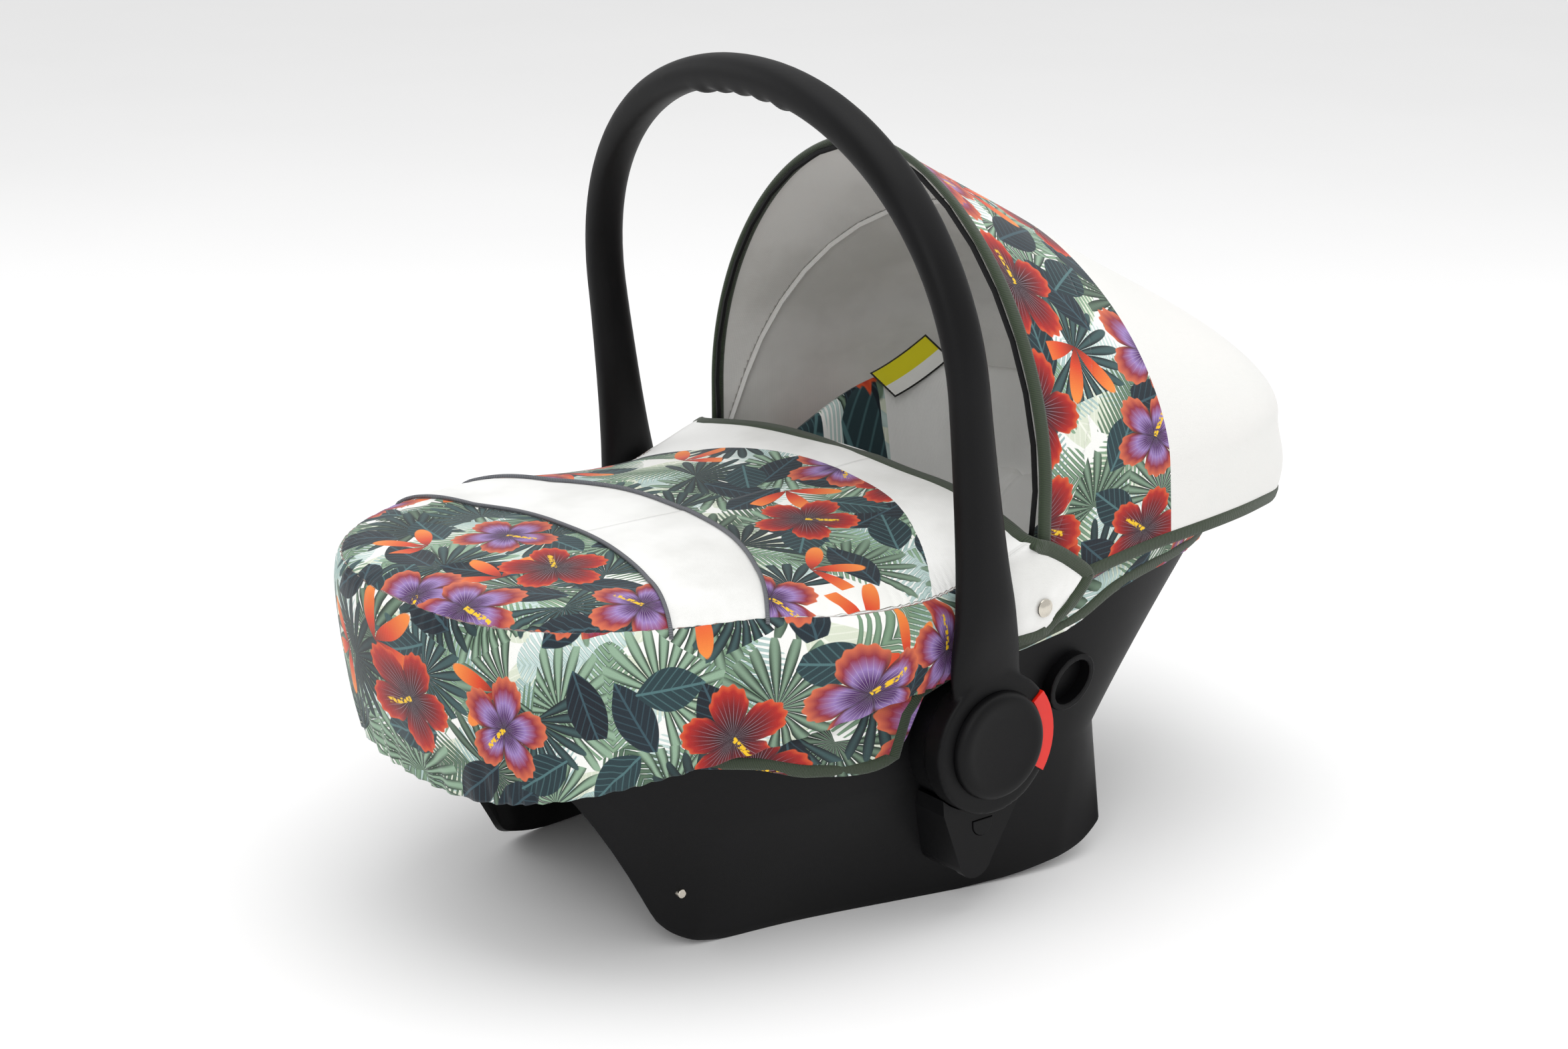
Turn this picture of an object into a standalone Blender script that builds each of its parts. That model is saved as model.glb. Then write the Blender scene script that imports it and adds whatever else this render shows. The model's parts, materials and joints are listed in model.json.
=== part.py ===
"""Infant car seat: a shell on two rockers, with a turning carry handle, a folding hood and a foot cover.

Units are metres. +Z is up, -Y is the foot end and +X is the occupant's left.
The origin lies on the floor, under the middle of the overall length.
"""

import math

import bmesh
import bpy
from mathutils import Matrix, Vector

# Overall sizes.
LENGTH = 0.740
SHELL_HALF_WIDTH = 0.178
HANDLE_HEIGHT = 0.429
HUB_HEIGHT = 0.130

# Walls and clearances.
SHELL_WALL = 0.004
COVER_THICKNESS = 0.0055
HOOD_THICKNESS = 0.0025
FOOT_COVER_THICKNESS = 0.0034
GAP = 0.0004
RUNNING_GAP = 0.0003
FABRIC_GAP = 0.0008

# Handle, hub and lock.
HUB_Y = -0.025
HANDLE_LEAN = math.radians(6.7)
LEG_THICKNESS = 0.020
LEG_DEPTH = 0.030
GRIP_THICKNESS = 0.024
GRIP_BUMP = 0.003
GRIP_PITCH = 0.023
GRIP_BUMPS = 5
PLATE_RADIUS = 0.0495
PLATE_THICKNESS = 0.0185
CUP_DEPTH = 0.010
CUP_RADIUS = 0.034
CAP_RADIUS = 0.0375
CAP_THICKNESS = 0.0072
AXLE_RADIUS = 0.006
BOLT_HEAD_RADIUS = 0.011
BOLT_HEAD_THICKNESS = 0.0027
GEAR_RADIUS = 0.030
GEAR_THICKNESS = 0.0037
GEAR_TEETH = 12
SPRING_RADIUS = 0.0115
SPRING_WIRE = 0.0007
SPRING_TURNS = 4

# Adapter socket under each hub.
SOCKET_WALL_TOP = 0.0505
SOCKET_HALF_WIDTH = 0.035
SOCKET_BOTTOM = 0.030
SOCKET_BUTTON_HEIGHT = 0.066
SOCKET_BUTTON_RADIUS = 0.0085

# Hood and foot cover.
HOOD_FRONT = 0.028
HOOD_TOP = 0.502
HOOD_SLOPE = 0.564
HOOD_SHOULDER = 0.290
HOOD_ROUND = 1.85
HINGE_HEIGHT = 0.2245
MID_BOW_ANGLE = math.radians(24.0)
BOW_RADIUS = 0.002
FOOT_TOP = 0.262
FOOT_TOP_REAR = 0.270
EAR_END = 0.072
SNAP_RADIUS = 0.0065
SNAP_Y = 0.028
SNAP_Z = 0.211
FRONT_BOW_INSET = 0.0052
MIDDLE_BOW_INSET = 0.0036

# Worked out from the values above.
FRONT = -LENGTH / 2
REAR = LENGTH / 2
RIM_FRONT = FRONT + 0.045
RIM_REAR = REAR - 0.070
RIM_WIDE = 0.060
COVER_GAP = 0.0007
RESTING_GAP = 0.0004
LIP_OUT = SHELL_HALF_WIDTH + COVER_GAP + COVER_THICKNESS
HOOD_OUT = LIP_OUT + FABRIC_GAP + HOOD_THICKNESS
FOOT_OUT = HOOD_OUT + 0.0042
HANDLE_INNER = FOOT_OUT + 0.0035
LEG_X = HANDLE_INNER + LEG_THICKNESS / 2
PLATE_INNER = HOOD_OUT + FABRIC_GAP
PLATE_OUTER = PLATE_INNER + PLATE_THICKNESS
CAP_INNER = PLATE_OUTER + RUNNING_GAP
CUP_END = PLATE_INNER + CUP_DEPTH
HOUSING_OUTER = PLATE_INNER - RUNNING_GAP
HUB = Vector((0.0, HUB_Y, HUB_HEIGHT))
HINGE = Vector((0.0, HOOD_FRONT, HINGE_HEIGHT))
COLUMNS = 40
ROUND_SIDES = 28

SIDES = {"left": 1.0, "right": -1.0}


# ---------------------------------------------------------------- scene helpers


def clear_scene():
    for item in list(bpy.data.objects):
        bpy.data.objects.remove(item, do_unlink=True)


def make_collection(name, hidden=False):
    made = bpy.data.collections.new(name)
    bpy.context.scene.collection.children.link(made)
    made.hide_render = hidden
    return made


def make_material(name, colour, roughness, metallic=0.0):
    made = bpy.data.materials.new(name)
    made.use_nodes = True
    shader = made.node_tree.nodes["Principled BSDF"]
    shader.inputs["Base Color"].default_value = (*colour, 1.0)
    shader.inputs["Roughness"].default_value = roughness
    shader.inputs["Metallic"].default_value = metallic
    made.diffuse_color = (*colour, 1.0)
    return made


def place(name, mesh, finish, smooth=True):
    """Puts a mesh in the scene as a part."""
    item = bpy.data.objects.new(name, mesh)
    PARTS.objects.link(item)
    mesh.materials.append(finish)
    if smooth:
        mesh.shade_smooth()
        mesh.set_sharp_from_angle(angle=math.radians(35))
    return item


def face_out(shape):
    """Turns a closed shape's faces outwards."""
    bmesh.ops.recalc_face_normals(shape, faces=shape.faces)
    if shape.calc_volume(signed=True) < 0:
        bmesh.ops.reverse_faces(shape, faces=shape.faces)


def from_bmesh(name, shape, finish, smooth=True, closed=True):
    if closed:
        face_out(shape)
    mesh = bpy.data.meshes.new(name)
    shape.to_mesh(mesh)
    shape.free()
    return place(name, mesh, finish, smooth)


def set_origin(item, point):
    """Moves an object's origin to a point, such as its joint's axis, and leaves its shape where it is."""
    item.data.transform(Matrix.Translation(-Vector(point)))
    item.location = Vector(point)
    return item


def evaluated_mesh(item):
    graph = bpy.context.evaluated_depsgraph_get()
    return bpy.data.meshes.new_from_object(item.evaluated_get(graph))


def bake(item):
    """Applies an object's modifiers, so that its mesh can be moved or cut again."""
    bpy.context.view_layer.update()
    mesh = evaluated_mesh(item)
    old = item.data
    item.modifiers.clear()
    item.data = mesh
    bpy.data.meshes.remove(old)
    return item


def boolean(item, other, operation):
    """Cuts an object with another, or joins the other to it, and removes the other."""
    step = item.modifiers.new(operation.lower(), "BOOLEAN")
    step.operation = operation
    step.solver = "EXACT"
    step.object = other
    bake(item)
    bpy.data.objects.remove(other, do_unlink=True)
    return item


def cut(item, *cutters):
    for cutter in cutters:
        CUTTERS.objects.link(cutter)
        PARTS.objects.unlink(cutter)
        cutter.hide_render = True
        cutter.display_type = "WIRE"
        boolean(item, cutter, "DIFFERENCE")
    return item


def join(item, *others):
    for other in others:
        boolean(item, other, "UNION")
    return item


def face_away(item, centre):
    """Turns an open sheet's faces away from a point inside it."""
    shape = bmesh.new()
    shape.from_mesh(item.data)
    bmesh.ops.recalc_face_normals(shape, faces=shape.faces)
    outward = sum(face.normal.dot(face.calc_center_median() - centre) for face in shape.faces)
    if outward < 0:
        bmesh.ops.reverse_faces(shape, faces=shape.faces)
    shape.to_mesh(item.data)
    shape.free()


def thicken(item, low, high):
    """Turns an open surface into a solid that reaches from low to high along its normals."""
    step = item.modifiers.new("wall", "SOLIDIFY")
    step.thickness = high - low
    step.offset = (low + high) / (high - low)
    step.use_even_offset = True
    step.use_rim = True
    return bake(item)


# ---------------------------------------------------------------- shape helpers


def power(value, exponent):
    return math.copysign(abs(value) ** exponent, value)


def mix(low, high, share):
    return low + (high - low) * share


def ease(share):
    share = min(1.0, max(0.0, share))
    return share * share * (3 - 2 * share)


def curve_through(*points):
    """A smooth function through (position, value) points, level past its ends."""
    slopes = []
    for index in range(len(points)):
        before = points[max(0, index - 1)]
        after = points[min(len(points) - 1, index + 1)]
        slopes.append((after[1] - before[1]) / (after[0] - before[0]))

    def value(position):
        if position <= points[0][0]:
            return points[0][1]
        for index in range(len(points) - 1):
            (start, low), (end, high) = points[index], points[index + 1]
            if position <= end:
                run = end - start
                share = (position - start) / run
                square, cube = share**2, share**3
                return (
                    low * (2 * cube - 3 * square + 1)
                    + run * slopes[index] * (cube - 2 * square + share)
                    + high * (3 * square - 2 * cube)
                    + run * slopes[index + 1] * (cube - square)
                )
        return points[-1][1]

    return value


def outline(turn, half_width, front, wide, rear, front_square, rear_square):
    """A plan outline's point, at a turn from the front (0) past +X to the rear (pi)."""
    forward = math.cos(turn) > 0
    square = front_square if forward else rear_square
    reach = wide - front if forward else rear - wide
    x = half_width * power(math.sin(turn), 2 / square)
    y = wide - reach * power(math.cos(turn), 2 / square)
    return x, y


def loft(name, rows, finish, closed=False, cap_start=False, cap_end=False, split=False):
    """Skins rows of points. Closed joins each row's end to its start; the caps fill the end rows.

    Split cuts each face into triangles, so that two skins made from the same rows keep the same diagonals.
    """
    shape = bmesh.new()
    grid = [[shape.verts.new(point) for point in row] for row in rows]
    for low, high in zip(grid, grid[1:]):
        count = len(low)
        for index in range(count if closed else count - 1):
            after = (index + 1) % count
            shape.faces.new((low[index], low[after], high[after], high[index]))
    if cap_start:
        shape.faces.new(grid[0][::-1])
    if cap_end:
        shape.faces.new(grid[-1])
    bmesh.ops.remove_doubles(shape, verts=shape.verts, dist=1e-5)
    if split:
        bmesh.ops.triangulate(shape, faces=shape.faces, quad_method="FIXED")
    return from_bmesh(name, shape, finish, closed=closed and cap_start and cap_end)


def drum(name, radius, start, end, y, z, finish, sides=ROUND_SIDES, end_radius=None):
    """A cylinder or a cone along X, from start to end."""
    shape = bmesh.new()
    bmesh.ops.create_cone(
        shape,
        cap_ends=True,
        segments=sides,
        radius1=radius,
        radius2=radius if end_radius is None else end_radius,
        depth=abs(end - start),
        matrix=Matrix.Rotation(math.copysign(math.pi / 2, end - start), 4, "Y"),
    )
    bmesh.ops.translate(shape, verts=shape.verts, vec=((start + end) / 2, y, z))
    return from_bmesh(name, shape, finish)


def block(name, low, high, finish):
    shape = bmesh.new()
    bmesh.ops.create_cube(shape, size=1.0)
    size = Vector(high) - Vector(low)
    bmesh.ops.scale(shape, verts=shape.verts, vec=size)
    bmesh.ops.translate(shape, verts=shape.verts, vec=(Vector(high) + Vector(low)) / 2)
    return from_bmesh(name, shape, finish, smooth=False)


def plate(name, points, start, end, finish):
    """A flat outline of (y, z) points, drawn out along X from start to end."""
    low, high = min(start, end), max(start, end)
    curve = bpy.data.curves.new(name, "CURVE")
    curve.dimensions = "2D"
    curve.fill_mode = "BOTH"
    curve.extrude = (high - low) / 2
    line = curve.splines.new("POLY")
    line.points.add(len(points) - 1)
    for knot, (y, z) in zip(line.points, points):
        knot.co = (y, z, 0.0, 1.0)
    line.use_cyclic_u = True
    drawn = bpy.data.objects.new(name + "_outline", curve)
    PARTS.objects.link(drawn)
    bpy.context.view_layer.update()
    shape = bmesh.new()
    shape.from_mesh(evaluated_mesh(drawn))
    bpy.data.objects.remove(drawn, do_unlink=True)
    bmesh.ops.remove_doubles(shape, verts=shape.verts, dist=1e-6)
    # The outline is drawn in (X, Y) and stands up in (Y, Z).
    stand = Matrix(((0, 0, 1, (low + high) / 2), (1, 0, 0, 0), (0, 1, 0, 0), (0, 0, 0, 1)))
    bmesh.ops.transform(shape, matrix=stand, verts=shape.verts)
    return from_bmesh(name, shape, finish)


def tube(name, points, radius, finish, resolution=2):
    """A round bar along a line of points."""
    curve = bpy.data.curves.new(name, "CURVE")
    curve.dimensions = "3D"
    curve.bevel_depth = radius
    curve.bevel_resolution = resolution
    curve.use_fill_caps = True
    line = curve.splines.new("POLY")
    line.points.add(len(points) - 1)
    for knot, point in zip(line.points, points):
        knot.co = (*point, 1.0)
    drawn = bpy.data.objects.new(name + "_line", curve)
    PARTS.objects.link(drawn)
    bpy.context.view_layer.update()
    shape = bmesh.new()
    shape.from_mesh(evaluated_mesh(drawn))
    bpy.data.objects.remove(drawn, do_unlink=True)
    bmesh.ops.remove_doubles(shape, verts=shape.verts, dist=1e-6)
    return from_bmesh(name, shape, finish)


def arc(centre, radius, start, end, steps):
    """Points (y, z) along an arc, whose angles in degrees run from the rear (0) past the top (90)."""
    points = []
    for step in range(steps + 1):
        angle = math.radians(mix(start, end, step / steps))
        points.append((centre[0] + radius * math.cos(angle), centre[1] + radius * math.sin(angle)))
    return points


# ---------------------------------------------------------------- shell

RIM_HEIGHT = curve_through(
    (RIM_FRONT, 0.190), (-0.200, 0.168), (-0.120, 0.167), (-0.025, 0.192),
    (0.030, 0.208), (0.090, 0.224), (0.160, 0.239), (RIM_REAR, 0.246),
)
FLOOR_HEIGHT = curve_through(
    (RIM_FRONT + 0.03, 0.085), (-0.250, 0.058), (-0.190, 0.047), (-0.100, 0.045),
    (-0.020, 0.058), (0.050, 0.090), (0.130, 0.134), (0.200, 0.176), (RIM_REAR - 0.03, 0.216),
)
RUNNER_Y = curve_through(
    (RIM_FRONT, -0.250), (-0.270, -0.226), (-0.200, -0.186), (-0.100, -0.110),
    (0.000, -0.020), (0.100, 0.052), (0.200, 0.102), (RIM_REAR, 0.126),
)
RUNNER_WIDTH = curve_through(
    (-0.235, 0.630), (-0.140, 0.680), (-0.040, 0.803), (0.030, 0.900), (0.070, 0.938),
)
RUNNER_HEIGHT = curve_through(
    (-0.240, 0.034), (-0.222, 0.012), (-0.195, 0.002), (-0.160, 0.000), (-0.020, 0.000),
    (0.030, 0.003), (0.070, 0.009), (0.092, 0.015), (0.107, 0.026), (0.117, 0.040), (0.126, 0.052),
)
WAIST_HEIGHT = 0.100
LIP_DEPTH = 0.040
RIM_INSET = 0.026
BOWL_STEEPNESS = 6.0
BOWL = dict(
    half_width=SHELL_HALF_WIDTH - RIM_INSET, front=RIM_FRONT + 0.033, wide=RIM_WIDE,
    rear=RIM_REAR - 0.028, front_square=2.8, rear_square=2.8,
)
RIM = dict(
    half_width=SHELL_HALF_WIDTH, front=RIM_FRONT, wide=RIM_WIDE,
    rear=RIM_REAR, front_square=3.2, rear_square=2.6,
)
WAIST = dict(
    half_width=SHELL_HALF_WIDTH - 0.007, front=RIM_FRONT + 0.035, wide=0.050,
    rear=0.141, front_square=3.2, rear_square=3.2,
)


def rim_point(turn, inset, drop):
    x, y = outline(
        turn, SHELL_HALF_WIDTH - inset, RIM_FRONT + inset, RIM_WIDE, RIM_REAR - inset,
        RIM["front_square"], RIM["rear_square"],
    )
    return Vector((x, y, RIM_HEIGHT(y) - drop))


def runner_point(turn):
    """The skirt's bottom edge, which rocks on the floor."""
    rim_x, rim_y = outline(turn, **RIM)
    y = RUNNER_Y(rim_y)
    corner = min(1.0, (abs(rim_x) / (0.84 * SHELL_HALF_WIDTH)) ** 0.7)
    x = math.copysign(RUNNER_WIDTH(y) * SHELL_HALF_WIDTH * corner, rim_x)
    return Vector((x, y, RUNNER_HEIGHT(y)))


def skirt_point(turn, share):
    """The outer wall from its bottom edge (0) past the waist (0.5) to the rim (1)."""
    top = rim_point(turn, 0.0, 0.010)
    bottom = runner_point(turn)
    waist_x, waist_y = outline(turn, **WAIST)
    waist = Vector((waist_x, waist_y, WAIST_HEIGHT))
    low, high = (bottom, waist) if share < 0.5 else (waist, top)
    wall = low.lerp(high, (share % 0.5) * 2 if share < 1 else 1.0)
    lip = Vector((top.x, top.y, top.z - LIP_DEPTH * (1 - share)))
    # In front, between the two skirts, the wall is only a lip.
    reach = abs(top.x) / SHELL_HALF_WIDTH
    return wall.lerp(lip, ease((0.72 - reach) / 0.18) if math.cos(turn) > 0 else 0.0)


def bowl_size(x, y):
    """How far out in the bowl a point lies: 0 on its middle line, 1 at its rim."""
    reach = BOWL["wide"] - BOWL["front"] if y < BOWL["wide"] else BOWL["rear"] - BOWL["wide"]
    square = BOWL["front_square"]
    across = (abs(x) / BOWL["half_width"]) ** square
    along = (abs(y - BOWL["wide"]) / reach) ** square
    return (across + along) ** (1 / square)


def bowl_height(x, y):
    out = min(1.0, bowl_size(x, y))
    floor = FLOOR_HEIGHT(y)
    return floor + (RIM_HEIGHT(y) - 0.008 - floor) * out**BOWL_STEEPNESS


def bowl_point(turn, out):
    x, y = outline(turn, **BOWL)
    x, y = x * out, BOWL["wide"] + (y - BOWL["wide"]) * out
    return Vector((x, y, bowl_height(x, y)))


def rim_rows(turns):
    """The rim, rounded over from its outer wall to the bowl."""
    insets = ((0.0, 0.010), (0.002, 0.003), (0.009, 0.0), (0.021, 0.002))
    return [[rim_point(turn, inset, drop) for turn in turns] for inset, drop in insets]


def bowl_rows(turns):
    sizes = (0.99, 0.95, 0.88, 0.77, 0.60, 0.36, 0.12)
    return [[bowl_point(turn, out) for turn in turns] for out in sizes]


def column_turns():
    return [2 * math.pi * step / COLUMNS for step in range(COLUMNS)]


def socket_outline(gap):
    """The adapter socket's outline in (y, z): a concave top round the hub, tapered to a round foot."""
    foot_radius = 0.0145 + gap
    foot = (HUB_Y - 0.005, SOCKET_BOTTOM + 0.0145)
    half = SOCKET_HALF_WIDTH + gap
    shoulder = HUB_HEIGHT - 0.048
    spread = math.degrees(math.asin(SOCKET_HALF_WIDTH / SOCKET_WALL_TOP))
    points = arc((HUB_Y, HUB_HEIGHT), SOCKET_WALL_TOP - gap, 270 - spread, 270 + spread, 10)
    if gap:
        corner = points[-1][1] + 2 * gap
        points = [(HUB_Y - half, corner)] + points + [(HUB_Y + half, corner)]
    points.append((HUB_Y + half - 0.001, shoulder))
    points += arc(foot, foot_radius, -14, -166, 8)
    points.append((HUB_Y - half + 0.001, shoulder))
    return points


def guide_outline(radius_long, radius_short):
    """A tilted oval in (y, z), where the belt guide sits."""
    points = []
    for step in range(20):
        angle = 2 * math.pi * step / 20
        along, across = radius_long * math.cos(angle), radius_short * math.sin(angle)
        points.append((
            GUIDE[0] + along * math.cos(GUIDE_TILT) - across * math.sin(GUIDE_TILT),
            GUIDE[1] + along * math.sin(GUIDE_TILT) + across * math.cos(GUIDE_TILT),
        ))
    return points


GUIDE = (0.064, 0.147)
GUIDE_TILT = math.radians(40)
GUIDE_LONG = 0.0225
GUIDE_SHORT = 0.0165
HOUSING_RADIUS = 0.0475
HOUSING_INNER = SHELL_HALF_WIDTH - 0.0305
SOCKET_INNER = SHELL_HALF_WIDTH - 0.0375
SOCKET_OUTER = FOOT_OUT + 0.002
GUIDE_INNER = SHELL_HALF_WIDTH - 0.020


def make_shell():
    turns = column_turns()
    rows = [[skirt_point(turn, share) for turn in turns] for share in (0.0, 0.25, 0.5, 0.75)]
    rows += rim_rows(turns) + bowl_rows(turns)
    shell = loft("seat_shell", rows, PLASTIC, closed=True, cap_end=True, split=True)
    thicken(shell, -SHELL_WALL, 0.0)
    cut(shell, block("floor_below", (-0.3, FRONT, -0.05), (0.3, REAR, 0.0), PLASTIC))
    for sign in SIDES.values():
        far = sign * (HANDLE_INNER + 0.01)
        cut(
            shell,
            drum("hub_hole", HOUSING_RADIUS + GAP, sign * HOUSING_INNER, far, HUB_Y, HUB_HEIGHT, PLASTIC),
            plate("socket_hole", socket_outline(GAP), sign * (SOCKET_INNER - 0.006), far, PLASTIC),
            plate(
                "guide_hole", guide_outline(GUIDE_LONG + GAP, GUIDE_SHORT + GAP),
                sign * (GUIDE_INNER - 0.002), far, PLASTIC,
            ),
            drum(
                "pin_hole", PIN_RADIUS + GAP, sign * (SHELL_HALF_WIDTH - 0.02), far, *PIN, PLASTIC, sides=16,
            ),
            drum("foot_pin_hole", PIN_RADIUS + GAP, sign * 0.10, far, *FOOT_PIN, PLASTIC, sides=16),
        )
    for sign in SIDES.values():
        x = sign * STRAP_X
        cut(
            shell,
            block(
                "strap_slot", (x - STRAP_HALF - 0.003, SLOT_Y - 0.006, 0.05),
                (x + STRAP_HALF + 0.003, SLOT_Y + 0.006, 0.30), PLASTIC,
            ),
        )
    cut(
        shell,
        block("crotch_slot", (-0.022, CROTCH_Y - 0.006, 0.0), (0.022, CROTCH_Y + 0.006, 0.12), PLASTIC),
    )
    return shell


PIN_RADIUS = 0.0032
PIN = (0.040, 0.124)
FOOT_PIN = (-0.222, 0.045)


def make_shell_pins():
    """Moulded-in steel pins, two a side, in one node."""
    for side, sign in SIDES.items():
        for name, (y, z) in (("belt_pin", PIN), ("foot_pin", FOOT_PIN)):
            outer = side_surface(y, z)
            drum(
                f"{name}_{side}", PIN_RADIUS, sign * (outer - SHELL_WALL - 0.002),
                sign * (outer + 0.0014), y, z, STEEL, sides=16,
            )


def side_surface(y, z):
    """How far out the skirt's outer face is at a height."""
    best = None
    for step in range(400):
        turn = math.pi * step / 400
        for share in (0.05 * index for index in range(21)):
            point = skirt_point(turn, share)
            miss = abs(point.y - y) + abs(point.z - z)
            if best is None or miss < best[0]:
                best = (miss, point.x)
    return best[1]


# ---------------------------------------------------------------- seat cover and pads

COVER_EDGE = curve_through(
    (RIM_FRONT, 0.158), (-0.200, 0.140), (-0.160, 0.126), (-0.085, 0.126), (-0.072, 0.172),
    (-0.025, 0.1805), (0.011, 0.180), (0.043, 0.182), (0.076, 0.190), (0.114, 0.205), (0.176, 0.212),
    (RIM_REAR, 0.214),
)
STRAP_X = 0.042
STRAP_HALF = 0.019
STRAP_THICKNESS = 0.002
SLOT_Y = 0.150
CROTCH_Y = -0.110
PAD_THICKNESS = 0.012


def cover_lip_row(turns, share):
    """A row of the lip that hangs outside the rim: its edge (0) to the rim (1)."""
    row = []
    for turn in turns:
        top = rim_point(turn, 0.0, 0.010)
        edge = min(COVER_EDGE(top.y), top.z - 0.003)
        height = mix(edge, top.z, share)
        low, high = skirt_point(turn, 0.75), top
        if height < low.z:
            low, high = skirt_point(turn, 0.5), low
        row.append(high.lerp(low, (high.z - height) / (high.z - low.z)))
    return row


def covered_rows():
    """Rows of all that the cover wraps: the lip's outside, the rim and the bowl."""
    turns = column_turns()
    return [cover_lip_row(turns, 0.0), cover_lip_row(turns, 0.5)] + rim_rows(turns) + bowl_rows(turns)


def seat_block(name, rows, low, clear):
    """What the covered seat fills, grown by a clearance, for cutting what rests on it."""
    filled = loft(name, rows, FABRIC, closed=True, cap_end=True, split=True)
    return thicken(filled, low, COVER_GAP + COVER_THICKNESS + clear)


def make_seat_cover():
    cover = loft("seat_cover", covered_rows(), FABRIC, closed=True, cap_end=True, split=True)
    thicken(cover, COVER_GAP, COVER_GAP + COVER_THICKNESS)
    for sign in SIDES.values():
        x = sign * STRAP_X
        cut(
            cover,
            block(
                "strap_slit", (x - STRAP_HALF - 0.003, SLOT_Y - 0.006, 0.05),
                (x + STRAP_HALF + 0.003, SLOT_Y + 0.006, 0.30), FABRIC,
            ),
            drum(
                "hub_notch", HOUSING_RADIUS + 0.001, sign * HOUSING_INNER, sign * (LIP_OUT + 0.01),
                HUB_Y, HUB_HEIGHT, FABRIC,
            ),
        )
    cut(cover, block("crotch_slit", (-0.022, CROTCH_Y - 0.006, 0.0), (0.022, CROTCH_Y + 0.006, 0.12), FABRIC))
    return cover


def surface_height(x, y):
    """The seat cover's upper face above the bowl."""
    step = 0.002
    slope_x = (bowl_height(x + step, y) - bowl_height(x - step, y)) / (2 * step)
    slope_y = (bowl_height(x, y + step) - bowl_height(x, y - step)) / (2 * step)
    stretch = math.sqrt(1 + slope_x**2 + slope_y**2)
    return bowl_height(x, y) + (COVER_GAP + COVER_THICKNESS) * stretch


def lying_pad(name, centre_x, half_width, start, end, thickness, finish, across=6, along=10):
    """A pad that follows the seat, crowned along its middle, with thinner edges and a fitted underside."""
    def row(level):
        rows = []
        for j in range(along + 1):
            y = mix(start, end, j / along)
            rows.append([])
            for i in range(across + 1):
                side = 2 * i / across - 1
                end_round = 1 - abs(2 * j / along - 1) ** 6 * 0.25
                x = centre_x + side * half_width * end_round
                crown = (1 - side**4) * (1 - abs(2 * j / along - 1) ** 6)
                lift = -0.006 if level == 0 else thickness * (0.35 + 0.65 * crown)
                rows[-1].append(Vector((x, y, surface_height(x, y) + lift)))
        return rows

    low, high = row(0), row(1)
    shape = bmesh.new()
    verts = [[[shape.verts.new(point) for point in line] for line in layer] for layer in (low, high)]
    for j in range(along):
        for i in range(across):
            a, b = verts[1][j][i], verts[1][j][i + 1]
            c, d = verts[1][j + 1][i + 1], verts[1][j + 1][i]
            shape.faces.new((a, b, c, d))
            a, b = verts[0][j][i], verts[0][j + 1][i]
            c, d = verts[0][j + 1][i + 1], verts[0][j][i + 1]
            shape.faces.new((a, b, c, d))
    edge = [(0, i) for i in range(across)] + [(j, across) for j in range(along)]
    edge += [(along, i) for i in range(across, 0, -1)] + [(j, 0) for j in range(along, 0, -1)]
    for (row, column), (next_row, next_column) in zip(edge, edge[1:] + edge[:1]):
        shape.faces.new((
            verts[0][row][column], verts[0][next_row][next_column],
            verts[1][next_row][next_column], verts[1][row][column],
        ))
    pad = from_bmesh(name, shape, finish)
    return cut(pad, seat_block("seat_below", covered_rows(), -0.010, RESTING_GAP))


def make_pads():
    body = lying_pad("body_pad", 0.0, 0.086, -0.205, SLOT_Y - 0.008, PAD_THICKNESS, FABRIC)
    cut(body, block("pad_slit", (-0.022, CROTCH_Y - 0.008, 0.0), (0.022, CROTCH_Y + 0.012, 0.12), FABRIC))
    head = lying_pad("head_pad", 0.0, 0.084, SLOT_Y + 0.008, 0.232, 0.010, WHITE, along=6)
    for side, sign in SIDES.items():
        x = sign * 0.109
        lying_pad(f"side_bolster_{side}", x, 0.0195, -0.080, 0.160, 0.016, WHITE, across=4)
    rows = []
    for lift in (RESTING_GAP, RESTING_GAP + 0.0008):
        corners = ((-1, -1), (1, -1), (1, 1), (-1, 1))
        rows.append([
            Vector((0.032 * i, LABEL_Y + 0.014 * j, top_of(head, 0.0, LABEL_Y + 0.014 * j) + lift + 0.001))
            for i, j in corners
        ])
    loft("blank_label", rows, YELLOW, closed=True, cap_start=True, cap_end=True)
    return body


LABEL_Y = 0.205


def top_of(item, x, y):
    """The height of a piece's upper face at a place, found by looking down on it."""
    hit, place_hit, _, _ = item.ray_cast(Vector((x, y, 0.5)), Vector((0, 0, -1)))
    return place_hit.z if hit else surface_height(x, y)


def ribbon(name, line, half_width, thickness, finish):
    """A flat strap whose middle follows (x, y, z) points, and whose width lies along X."""
    rows = []
    for index, point in enumerate(line):
        before = Vector(line[max(0, index - 1)])
        after = Vector(line[min(len(line) - 1, index + 1)])
        along = (after - before).normalized()
        up = along.cross(Vector((-1, 0, 0))).normalized()
        side = Vector((half_width, 0, 0))
        lift = up * thickness / 2
        centre = Vector(point)
        rows.append([centre - side - lift, centre + side - lift, centre + side + lift, centre - side + lift])
    return loft(name, rows, finish, closed=True, cap_start=True, cap_end=True)


BUCKLE_Y = -0.075
BUCKLE_CLEAR = 0.030


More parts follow.
